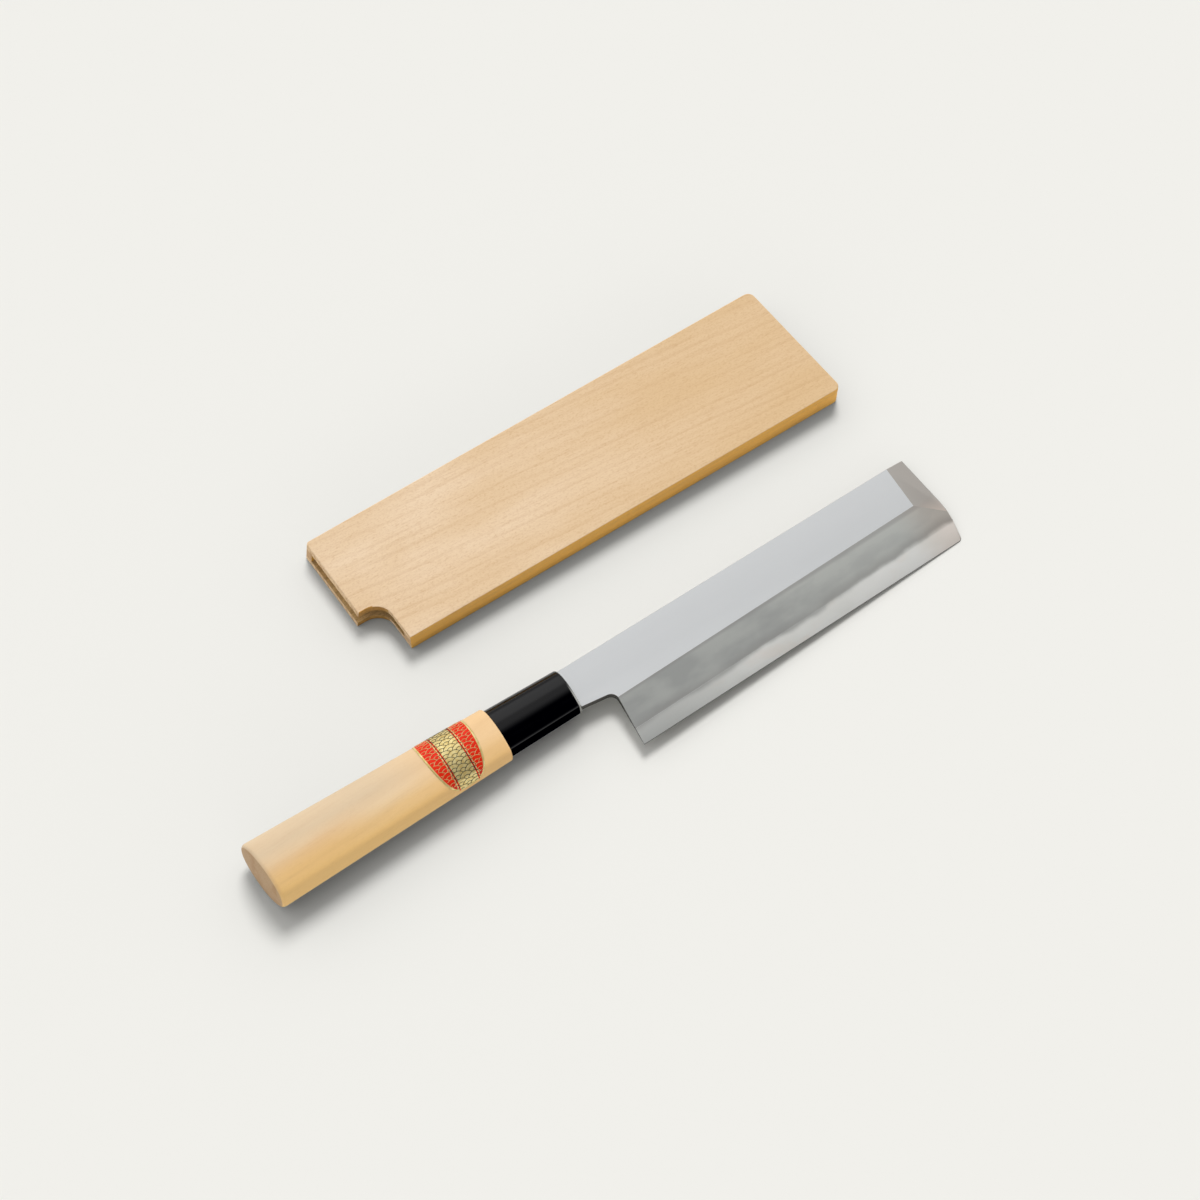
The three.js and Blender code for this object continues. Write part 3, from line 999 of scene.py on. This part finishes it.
class Loft:
    """A Geometry Nodes tree for a tapered round with one ridge along it, rounded at both ends."""

    CAP = 0.1
    ROUND = 0.1
    COLUMNS = 61
    ROWS = 181
    SEAM = 1e-4
    END_SIZES = tuple(
        f"{end} {size}" for end in ("Rear", "Front") for size in ("X", "Height", "Depth", "Round"))

    def __init__(self) -> None:
        """Builds the tree."""
        names = (*self.END_SIZES, "Rear Drop", "Dome", "Lean", "Tilt", "Axis Z",
                 "Ridge Turn", "Ridge Spread", "Ridge Softness")
        inputs = {name: Socket.NUMBER for name in names} | {"Material": Socket.MATERIAL}
        self.recipe = Recipe("ridged_loft", "GeometryNodeTree", inputs, {"Geometry": Socket.SHAPE})
        recipe = self.recipe
        grid = {"Size X": 1.0, "Size Y": 1.0, "Vertices X": self.COLUMNS, "Vertices Y": self.ROWS}
        sheet = recipe.term("GeometryNodeMeshGrid", grid)
        place = self.placed()
        shaped = recipe.term("GeometryNodeSetPosition", {"Geometry": sheet, "Position": place})
        closed = recipe.term("GeometryNodeMergeByDistance", {"Geometry": shaped, "Distance": self.SEAM * MM})
        smooth = recipe.term("GeometryNodeSetShadeSmooth", {"Geometry": closed, "Shade Smooth": True})
        real = recipe.term("GeometryNodeRealizeInstances", {"Geometry": smooth})
        look = {"Geometry": real, "Material": recipe.given("Material")}
        recipe.give("Geometry", recipe.term("GeometryNodeSetMaterial", look))

    def placed(self) -> Term:
        """Works out where each point of the grid goes.

        Returns:
            The point in the model's frame, in metres.
        """
        recipe = self.recipe
        given = recipe.given
        across, around, _ = recipe.axes(recipe.term("GeometryNodeInputPosition"))
        step, turn = across + 0.5, around + 0.5
        side = 1 - 2 * (self.CAP + self.ROUND)
        rear_cap = recipe.clamp(step / self.CAP)
        rear_turn = recipe.clamp((step - self.CAP) / self.ROUND) * (math.pi / 2)
        along = recipe.clamp((step - self.CAP - self.ROUND) / side)
        front_turn = recipe.clamp((step - (1 - self.CAP - self.ROUND)) / self.ROUND) * (math.pi / 2)
        front_cap = 1 - recipe.clamp((step - (1 - self.CAP)) / self.CAP)
        inward = given("Rear Round") * (1 - recipe.math("SINE", rear_turn)) \
            + given("Front Round") * (1 - recipe.math("COSINE", front_turn))
        share = rear_cap * front_cap

        def tapered(name: str) -> Term:
            """Leads a size from the rear to the front."""
            return given(f"Rear {name}") + (given(f"Front {name}") - given(f"Rear {name}")) * along

        ridge_away = recipe.math("MINIMUM", turn, 1 - turn) * (2 * math.pi)
        softness = given("Ridge Softness")
        eased = recipe.math("SQRT", ridge_away * ridge_away + softness * softness)
        reach = 1 / recipe.math("COSINE", recipe.math("MAXIMUM", given("Ridge Spread") - eased, 0.0))
        angle = turn * (2 * math.pi) + given("Ridge Turn")
        y = reach * recipe.math("COSINE", angle) * (tapered("Height") / 2 - inward) * share
        z = reach * recipe.math("SINE", angle) * (tapered("Depth") / 2 - inward) * share
        length = given("Front X") - given("Front Round") - given("Rear X") - given("Rear Round")
        rear = given("Rear Round") * (1 - recipe.math("COSINE", rear_turn))
        front = given("Front Round") * recipe.math("SINE", front_turn)
        slant = z * given("Tilt") - y * given("Lean") + given("Dome") * rear_cap * rear_cap
        x = given("Rear X") + rear + length * along + front + slant * (1 - along)
        drop = given("Rear Drop") * (1 - along)
        point = recipe.vector(x, y, z + given("Axis Z") - drop)
        scaled = recipe.term("ShaderNodeVectorMath", {0: point, "Scale": MM}, operation="SCALE")
        turned = recipe.term("ShaderNodeVectorRotate", {
            "Vector": scaled, "Rotation": (0.0, KNIFE.pitch, KNIFE.yaw)}, rotation_type="EULER_XYZ")
        return recipe.term("ShaderNodeVectorMath", {0: turned, 1: KNIFE.origin}, operation="ADD")


@dataclass(frozen=True)
class RidgedSection:
    """An oval with one ridge, as the handle has across its length."""

    side: float = 0.91
    rise: float = 0.62
    softness: float = 0.17
    axis_z: float = 1.45

    @property
    def turn(self) -> float:
        """Gives the ridge's angle around the handle, in radians from the spine."""
        return math.atan2(self.rise, -self.side)

    @property
    def spread(self) -> float:
        """Gives how far around the flats beside the ridge reach, in radians."""
        return math.acos(1 / math.hypot(self.side, self.rise))

    def reach(self, away: float) -> float:
        """Gives the reach at an angle from the ridge, as a multiple of the oval's."""
        return 1 / math.cos(max(0.0, self.spread - math.hypot(away, self.softness)))


@dataclass
class Handle:
    """The wooden grip, with one ridge along it, and its black collar."""

    section: RidgedSection = RidgedSection()
    length: float = 120.6
    butt: tuple[float, float] = (25.0, 19.84)
    butt_drop: float = 1.0
    butt_lean: float = 4.0
    butt_tilt: float = 5.0
    butt_round: float = 1.5
    butt_dome: float = 0.5
    front: tuple[float, float] = (20.6, 14.8)
    front_x: float = -28.6
    front_round: float = 0.9
    collar_rear: tuple[float, float] = (18.5, 13.2)
    collar_front: tuple[float, float] = (17.3, 12.3)
    collar_round: float = 0.8
    collar_rear_round: float = 0.25
    collar_softness: float = 0.07
    wood: Finish = WoodFinish(
        "handle_wood_bare", KNIFE, pale=tone(237, 212, 176), warm=tone(230, 193, 146),
        ring=tone(176, 126, 76), end=tone(200, 167, 128), tints=(
            # Painted light: faces turned away from the spine get a warm golden tint that stands in for fill
            # light on the lower side.
            Tint(Guide.FACING, tone(255, 209, 136), 0.0, -0.7),
            # Painted shade: faces turned to the spine get a darker tint.
            Tint(Guide.FACING, tone(217, 193, 160), -0.15, 0.25),
            Tint(Guide.LENGTH, tone(255, 206, 140), -80.0, -35.0, 0.5)),
        pith=(-60.0, 46.0, -32.0), grain_turn=3.0, ring_size=9.0, ring_wander=2.4,
        ring_share=0.1, fibre_share=0.09, pore_share=0.05, speck_share=0.05, relief=0.06, gloss=0.4)
    # The horn's rim colour and coat masks are a painted highlight and painted sheen.
    horn: Finish = HornFinish(
        "black_horn", tone(0, 0, 2), tone(2, 2, 5), bare=tone(206, 206, 200), rim=0.9, polish=0.17,
        sheen=0.82, upper=(-0.28, -0.04), ridge=(-0.48, -0.6, -0.9, -0.78))

    def build(self) -> None:
        """Builds the grip and the collar from one loft."""
        loft = Loft().recipe.tree
        grip_sizes = (-self.length, *self.butt, self.butt_round, self.front_x, *self.front, self.front_round)
        grip = dict(zip(Loft.END_SIZES, grip_sizes)) | {
            "Rear Drop": self.butt_drop, "Dome": self.butt_dome,
            "Lean": math.tan(math.radians(self.butt_lean)), "Tilt": math.tan(math.radians(self.butt_tilt)),
            "Ridge Softness": self.section.softness, "Material": self.wood.material(),
        }
        collar_sizes = (self.front_x, *self.collar_rear, self.collar_rear_round,
                        0.0, *self.collar_front, self.collar_round)
        collar = dict(zip(Loft.END_SIZES, collar_sizes)) | {
            "Rear Drop": 0.0, "Dome": 0.0, "Lean": 0.0, "Tilt": 0.0,
            "Ridge Softness": self.collar_softness, "Material": self.horn.material(),
        }
        shared = {
            "Axis Z": self.section.axis_z,
            "Ridge Turn": self.section.turn,
            "Ridge Spread": self.section.spread,
        }
        seated(grown("wooden_grip", loft, grip | shared), Body.KNIFE, Slot.HANDLE, "handle")
        seated(grown("black_collar", loft, collar | shared), Body.KNIFE, Slot.HORN, "ferrule")

    def around(self, x: float, distance: float, gap: float) -> Vector:
        """Gives a point over the wood at a distance around it from the ridge.

        Args:
            x: Where along the handle.
            distance: How far around from the ridge, positive towards the spine.
            gap: How far above the wood.

        Returns:
            The point, in the knife's frame.
        """
        along = (x + self.length) / (self.length + self.front_x)
        height, depth = (rear + (front - rear) * along for rear, front in zip(self.butt, self.front))
        lift = self.section.axis_z - self.butt_drop * (1 - along)

        def at(away: float) -> Vector:
            """Gives a point of the section.

            Args:
                away: The angle from the ridge, in radians.

            Returns:
                The point, in the knife's frame.
            """
            reach, angle = self.section.reach(away), self.section.turn - math.copysign(away, distance)
            return Vector((x, reach * math.cos(angle) * (height / 2 + gap),
                           reach * math.sin(angle) * (depth / 2 + gap) + lift))

        here, away, left = at(0.0), 0.0, abs(distance)
        while True:
            away += AROUND_STEP
            there = at(away)
            gone = (there - here).length
            if gone >= left:
                return here.lerp(there, left / gone)
            here, left = there, left - gone


class WavePrint:
    """A Geometry Nodes tree that prints rows of wave scales on a sheet through its UV map."""

    RINGS = 2
    ARC_POINTS = 13
    ARC_START = math.radians(31.0)
    ROWS = 41
    COLUMNS = 9
    PROFILE_POINTS = 5

    def __init__(self) -> None:
        """Builds the tree."""
        numbers = ("Sheet Length", "Sheet Wrap", "Sheet End", "Squareness", "Scale Radius", "Line Width",
                   "Margin")
        inputs = {name: Socket.NUMBER for name in numbers}
        inputs |= {"Sheet": Socket.OBJECT, "Material": Socket.MATERIAL}
        self.recipe = Recipe("wave_print", "GeometryNodeTree", inputs, {"Geometry": Socket.SHAPE})
        recipe = self.recipe
        scales = recipe.term("GeometryNodeInstanceOnPoints", {
            "Points": self.points(), "Instance": self.scale()})
        flat = recipe.term("GeometryNodeRealizeInstances", {"Geometry": scales})
        trimmed = recipe.term("GeometryNodeDeleteGeometry", {"Geometry": flat, "Selection": self.outside()})
        wrapped = recipe.term("GeometryNodeSetPosition", {"Geometry": trimmed, "Position": self.wrapped()})
        profile = recipe.term("GeometryNodeCurvePrimitiveCircle", {
            "Resolution": self.PROFILE_POINTS, "Radius": recipe.given("Line Width") * (MM / 2)})
        lines = recipe.term("GeometryNodeCurveToMesh", {
            "Curve": wrapped, "Profile Curve": profile, "Fill Caps": True})
        real = recipe.term("GeometryNodeRealizeInstances", {"Geometry": lines})
        look = {"Geometry": real, "Material": recipe.given("Material")}
        recipe.give("Geometry", recipe.term("GeometryNodeSetMaterial", look))

    def scale(self) -> Term:
        """Draws one wave scale.

        Returns:
            Its nested arcs, flat, in millimetres.
        """
        recipe = self.recipe
        join = recipe.node("GeometryNodeJoinGeometry")
        for ring in range(1, self.RINGS + 1):
            radius = recipe.given("Scale Radius") * (ring / self.RINGS)
            arc = {"Resolution": self.ARC_POINTS, "Radius": radius,
                   "Start Angle": self.ARC_START, "Sweep Angle": math.pi - 2 * self.ARC_START}
            recipe.feed(join.inputs[0], recipe.term("GeometryNodeCurveArc", arc, mode="RADIUS"))
        return Term(recipe, join.outputs[0])

    def points(self) -> Term:
        """Sets out the scales.

        Returns:
            Points in offset rows, flat, in millimetres.
        """
        recipe = self.recipe
        radius = recipe.given("Scale Radius")
        grid = recipe.term("GeometryNodeMeshGrid", {
            "Size X": radius * (2 * (self.COLUMNS - 1)), "Size Y": radius * ((self.ROWS - 1) / 2),
            "Vertices X": self.COLUMNS, "Vertices Y": self.ROWS})
        _, y, _ = recipe.axes(recipe.term("GeometryNodeInputPosition"))
        row = recipe.math("ROUND", y / (radius / 2))
        offset = recipe.vector(recipe.math("FLOORED_MODULO", row, 2.0) * radius, 0.0, 0.0)
        return recipe.term("GeometryNodeSetPosition", {"Geometry": grid, "Offset": offset})

    def outside(self) -> Term:
        """Finds what lies on the rim or off the sheet.

        Returns:
            Whether a flat point is to be left out.
        """
        recipe = self.recipe
        given = recipe.given
        x, y, _ = recipe.axes(recipe.term("GeometryNodeInputPosition"))
        part = recipe.math("MINIMUM", recipe.math("ABSOLUTE", y) / (given("Sheet Wrap") / 2), 1.0)
        power = given("Squareness")
        swell = recipe.math("POWER", 1 - recipe.math("POWER", part, power), 1 / power)
        reach = (given("Sheet End") + (given("Sheet Length") - given("Sheet End")) * swell) / 2
        margin = given("Margin")
        beside = recipe.math("GREATER_THAN", recipe.math("ABSOLUTE", x), reach - margin)
        beyond = recipe.math("GREATER_THAN", recipe.math("ABSOLUTE", y), given("Sheet Wrap") / 2 - margin)
        return recipe.math("MAXIMUM", beside, beyond)

    def wrapped(self) -> Term:
        """Lays the flat lines on the sheet.

        Returns:
            Each point's place on the sheet, in metres.
        """
        recipe = self.recipe
        sheet = recipe.term("GeometryNodeObjectInfo", {"Object": recipe.given("Sheet")}, out="Geometry")
        uv = recipe.term("GeometryNodeInputNamedAttribute", {"Name": LABEL_UV}, data_type="FLOAT_VECTOR")
        x, y, _ = recipe.axes(recipe.term("GeometryNodeInputPosition"))
        u, v = x / recipe.given("Sheet Length") + 0.5, y / recipe.given("Sheet Wrap") + 0.5
        return recipe.term("GeometryNodeSampleUVSurface", {
            "Mesh": sheet, "Value": recipe.term("GeometryNodeInputPosition"), "UV Map": uv,
            "Sample UV": recipe.vector(u, v, 0.0)}, data_type="FLOAT_VECTOR")


@dataclass
class Label:
    """The oval foil label over the handle's ridge: gold waves on a red field, dark ones on a gold band."""

    handle: Handle
    length: float = 19.5
    wrap: float = 40.0
    setback: float = 7.8
    past_ridge: float = 4.0
    blunt_end: float = 3.0
    squareness: float = 2.2
    gap: float = 0.12
    thickness: float = 0.08
    columns: int = 36
    rows: int = 100
    rim: float = 0.7
    band: float = 4.4
    scale_radius: float = 2.7
    wave_line: float = 0.2
    gold_colours: tuple[Colour, Colour] = (tone(248, 230, 166), tone(232, 204, 130))
    red_colours: tuple[Colour, Colour] = (tone(232, 44, 10), tone(220, 36, 8))
    ink: Colour = tone(36, 30, 24)

    @property
    def middle(self) -> float:
        """Gives where the label's middle lies along the handle."""
        return self.handle.front_x - self.setback - self.length / 2

    def build(self) -> None:
        """Builds the sheet and the waves that are printed on it."""
        foil = FoilFinish(
            "red_foil", *self.red_colours, *self.gold_colours, length=self.length,
            rim=self.rim, band=self.band, line=self.wave_line)
        lines = PrintFinish(
            "gold_print", *self.gold_colours, ink=self.ink, middle=self.middle, band=self.band)
        sheet = new_piece("foil_label", self.sheet(), KNIFE, [foil])
        waves = grown("foil_waves", WavePrint().recipe.tree, {
            "Sheet": sheet, "Sheet Length": self.length, "Sheet Wrap": self.wrap,
            "Sheet End": self.blunt_end, "Squareness": self.squareness,
            "Scale Radius": self.scale_radius, "Line Width": self.wave_line,
            "Margin": self.rim + self.wave_line, "Material": lines.material()})
        solidify = sheet.modifiers.new("foil_thickness", "SOLIDIFY")
        solidify.thickness = self.thickness * MM
        solidify.offset = -1.0
        seated(settled(sheet), Body.KNIFE, Slot.FOIL, "label")
        seated(waves, Body.KNIFE, Slot.FOIL)

    def sheet(self) -> bmesh.types.BMesh:
        """Lays the oval sheet over the wood, with a UV map that is true to its length and wrap.

        Returns:
            The sheet, in the knife's frame.
        """
        body = bmesh.new()
        uv = body.loops.layers.uv.new(LABEL_UV)
        inset = body.verts.layers.float.new(LABEL_INSET)
        spots: dict[bmesh.types.BMVert, tuple[float, float]] = {}
        grid: list[list[bmesh.types.BMVert]] = []
        for row in range(self.rows + 1):
            around = row / self.rows
            part = abs(2 * around - 1)
            swell = (1 - part ** self.squareness) ** (1 / self.squareness)
            reach = (self.blunt_end + (self.length - self.blunt_end) * swell) / 2
            line = []
            for column in range(self.columns + 1):
                offset = reach * (2 * column / self.columns - 1)
                vertex = body.verts.new(
                    self.handle.around(self.middle + offset, around * self.wrap - self.past_ridge, self.gap))
                vertex[inset] = min(reach - abs(offset), (1 - part) * self.wrap / 2)
                spots[vertex] = (offset / self.length + 0.5, around)
                line.append(vertex)
            grid.append(line)
        for lower, upper in zip(grid, grid[1:]):
            for column in range(self.columns):
                face = body.faces.new(
                    (lower[column], lower[column + 1], upper[column + 1], upper[column]))
                face.smooth = True
                for loop in face.loops:
                    loop[uv].uv = spots[loop.vert]
        return body


class BoardFace(Enum):
    """The kinds of face on the sheath's boards, in the order of their materials."""

    OUTER = 0
    INNER = 1
    NOTCH = 2


@dataclass
class Sheath:
    """The wooden sheath: two boards with strips and an end block between them."""

    top_break: float = 0.45
    foot_break: float = 0.4
    seam_break: float = 0.07
    crease: float = 50.0
    notch_from: float = 3.0
    notch_turn: float = 0.35
    boards: tuple[str, ...] = ("sheath_bottom_board", "sheath_top_board")
    cores: tuple[str, ...] = ("sheath_spine_strip", "sheath_edge_strip", "sheath_end_block")
    board_wood: WoodFinish = WoodFinish(
        "sheath_board_wood", SHEATH, pale=tone(241, 215, 183), warm=tone(232, 202, 164),
        # The end colour is end grain, set light as painted light on the shaded ends.
        ring=tone(196, 152, 104), end=tone(248, 214, 168), tints=(
            Tint(Guide.LENGTH, tone(220, 184, 134), 30.0, 170.0, 0.6),
            # Painted light and shade: faces turned away from the spine, on the near side, get a deep golden
            # tint.
            Tint(Guide.FACING, tone(248, 186, 84), -0.45, -0.8)),
        pith=(95.0, 60.0, -40.0), grain_turn=-5.0, ring_size=2.6, ring_wander=2.6,
        ring_share=0.2, fibre_share=0.2, pore_share=0.24, speck_share=0.32, end_share=0.8)
    # Painted light: the inner faces lie in the slot's shade and get a warm, light colour and a light bounce
    # to lift them.
    inner_wood: WoodFinish = WoodFinish(
        "sheath_inner_wood", SHEATH, pale=tone(255, 212, 146), warm=tone(242, 192, 124),
        ring=tone(164, 114, 64), end=tone(224, 176, 116), pith=(95.0, 60.0, -40.0),
        ring_share=0.3, fibre_share=0.4, speck_share=0.6, bounce=tone(196, 184, 168))
    core_wood: WoodFinish = WoodFinish(
        "sheath_core_wood", SHEATH, pale=tone(226, 194, 156), warm=tone(219, 182, 140),
        ring=tone(186, 140, 92), end=tone(216, 176, 130),
        # Painted light and shade: faces turned away from the spine, on the near side, get a deep golden tint.
        tints=(Tint(Guide.FACING, tone(252, 188, 84), -0.45, -0.8),),
        pith=(95.0, 40.0, -70.0), grain_turn=1.0,
        ring_size=3.4, ring_wander=1.6, ring_share=0.2, fibre_share=0.25, pore_share=0.2)
    # Painted shade: the notch's hollow wall gets a darker brown than the near side.
    notch_shade_wood: WoodFinish = WoodFinish(
        "sheath_notch_wood", SHEATH, pale=tone(208, 156, 78), warm=tone(198, 144, 68),
        ring=tone(134, 88, 38), end=tone(208, 164, 98), pith=(95.0, 60.0, -40.0),
        ring_share=0.3, fibre_share=0.4, speck_share=0.4)

    def build(self) -> None:
        """Builds the boards, the strips and the end block."""
        woods = [self.board_wood, self.inner_wood, self.notch_shade_wood]
        for node in self.boards:
            body = solid_copy(node, SHEATH)
            low, high = self.heights(body)
            lies_low = low < MERGE
            inner, outer = (high, low) if lies_low else (low, high)
            self.soften(body, self.foot_break if lies_low else self.top_break, [outer])
            self.soften(body, self.seam_break, [inner], self.crease)
            self.sort_faces(body, inner)
            self.finish(node, body, woods)
        for node in self.cores:
            body = solid_copy(node, SHEATH)
            self.soften(body, self.seam_break, self.heights(body), self.crease)
            self.finish(node, body, [self.core_wood])

    @staticmethod
    def heights(body: bmesh.types.BMesh) -> list[float]:
        """Gives a solid's lowest and highest place."""
        places = [vertex.co.z for vertex in body.verts]
        return [min(places), max(places)]

    def sort_faces(self, body: bmesh.types.BMesh, inner: float) -> None:
        """Gives the inner face and the notch's hollow wall their own colours: painted light on the inner face
        and painted shade on the wall.

        Args:
            body: A board, in the sheath's frame.
            inner: The height of its inner face.
        """
        near_side = min(vertex.co.y for vertex in body.verts)
        for face in body.faces:
            stands_back = face.calc_center_median().y - near_side > self.notch_from
            kind = BoardFace.OUTER
            if all(abs(vertex.co.z - inner) < MERGE for vertex in face.verts):
                kind = BoardFace.INNER
            elif stands_back and face.normal.y < -self.notch_turn:
                kind = BoardFace.NOTCH
            face.material_index = kind.value

    @staticmethod
    def soften(body: bmesh.types.BMesh, width: float, heights: Sequence[float], corner: float = 0.0) -> None:
        """Breaks the edges whose ends lie at some heights.

        Args:
            body: A board, strip or block, in the sheath's frame.
            width: How far the break reaches from each edge.
            heights: The heights.
            corner: The least angle of an edge that is broken.
        """
        def picks(edge: bmesh.types.BMEdge) -> bool:
            """Tells whether an edge is broken."""
            level = all(any(abs(vertex.co.z - height) < MERGE for height in heights) for vertex in edge.verts)
            return level and edge.calc_face_angle() >= math.radians(corner)

        break_edges(body, width, picks)

    def finish(self, node: str, body: bmesh.types.BMesh, woods: Sequence[WoodFinish]) -> None:
        """Makes a piece of a softened solid and seats it.

        Args:
            node: The CAD node that it stands for.
            body: The solid, in the sheath's frame.
            woods: Its finishes, in the order of the faces' material numbers.
        """
        piece = smooth_shaded(new_piece(f"dressed_{node}", body, SHEATH, woods), self.crease)
        seated(piece, Body.SHEATH, Slot.SHEATH, node)


@dataclass
class Studio:
    """A plain pale floor in a soft room with a wide bright screen behind it, a soft key and the camera."""

    floor_size: float = 40000.0
    floor_colour: Colour = tone(240, 239, 234)
    front: float = 0.17
    back: float = 0.62
    low_front: float = 1.28
    low_back: float = 0.4
    low_edge: tuple[float, float] = (0.2, 0.4)
    front_edge: tuple[float, float] = (-0.35, 0.15)
    screen: float = 1.09
    screen_edge: tuple[float, float] = (0.44, 0.54)
    horizon: float = 0.86
    horizon_edge: tuple[float, float] = (0.03, 0.07)
    key_strength: float = 1.79
    key_spread: float = 22.0
    key_from: tuple[float, float, float] = (0.4, 0.56, 1.0)
    camera_place: tuple[float, float, float] = (-184.67, -318.014, 829.556)
    camera_aim: tuple[float, float, float] = (15.414, -7.562, 0.0)
    lens: float = 78.79

    def build(self) -> None:
        """Builds the floor, the lights and the camera."""
        bpy.context.scene.view_settings.view_transform = "Standard"
        self.build_floor()
        self.build_room()
        self.build_key()
        self.build_camera()

    def build_floor(self) -> None:
        """Lays the floor under the object."""
        body = bmesh.new()
        bmesh.ops.create_grid(body, x_segments=1, y_segments=1, size=self.floor_size / 2)
        paper = FloorFinish("floor_paper", self.floor_colour)
        new_piece("studio_floor", body, Lie(Vector()), [paper])

    def build_room(self) -> None:
        """Makes the room's light, with the screen behind the object and a pale horizon all round."""
        world = bpy.data.worlds.new("studio_room")
        world.use_nodes = True
        graph = Graph(world.node_tree)
        _, back, up = graph.axes(graph.term("ShaderNodeTexCoord", out="Generated"))
        front = graph.ramp(up, *self.low_edge, self.low_front, self.front)
        rear = graph.ramp(up, *self.low_edge, self.low_back, self.back)
        screen = graph.ramp(up, *self.low_edge, self.low_back, self.screen)
        room = graph.ramp(back, *self.front_edge, front, rear)
        light = graph.ramp(back, *self.screen_edge, room, screen)
        strength = graph.ramp(up, *self.horizon_edge, self.horizon, light)
        glow = graph.term("ShaderNodeBackground", {"Color": (1.0, 1.0, 1.0, 1.0), "Strength": strength})
        graph.node("ShaderNodeOutputWorld", {"Surface": glow})
        bpy.context.scene.world = world

    def build_key(self) -> None:
        """Hangs the soft key light behind the object, kept out of the metal's reflections."""
        lamp = bpy.data.lights.new("soft_key", "SUN")
        lamp.energy = self.key_strength
        lamp.angle = math.radians(self.key_spread)
        self.aimed("soft_key", lamp, Vector(self.key_from), Vector()).visible_glossy = False

    def build_camera(self) -> None:
        """Stands the camera at the photograph's angle."""
        camera = bpy.data.cameras.new("studio_camera")
        camera.lens = self.lens
        bpy.context.scene.camera = self.aimed(
            "studio_camera", camera, Vector(self.camera_place) * MM, Vector(self.camera_aim) * MM)

    @staticmethod
    def aimed(name: str, data: bpy.types.ID, place: Vector, aim: Vector) -> bpy.types.Object:
        """Places a lamp or a camera and turns it to a point.

        Args:
            name: The object's name.
            data: The lamp or the camera.
            place: Where it stands, in metres.
            aim: What it looks at, in metres.

        Returns:
            The object.
        """
        thing = bpy.data.objects.new(name, data)
        thing.location = place
        thing.rotation_euler = (aim - place).to_track_quat("-Z", "Y").to_euler()
        bpy.context.scene.collection.objects.link(thing)
        return thing


def main() -> None:
    """Builds the pieces in order and lights them."""
    logging.basicConfig(level=logging.INFO, format="%(name)s: %(message)s")
    handle = Handle()
    for part in (Blade(), handle, Label(handle), Sheath(), Studio()):
        part.build()
        LOG.info("%s is built", type(part).__name__)


if __name__ == "__main__":
    main()
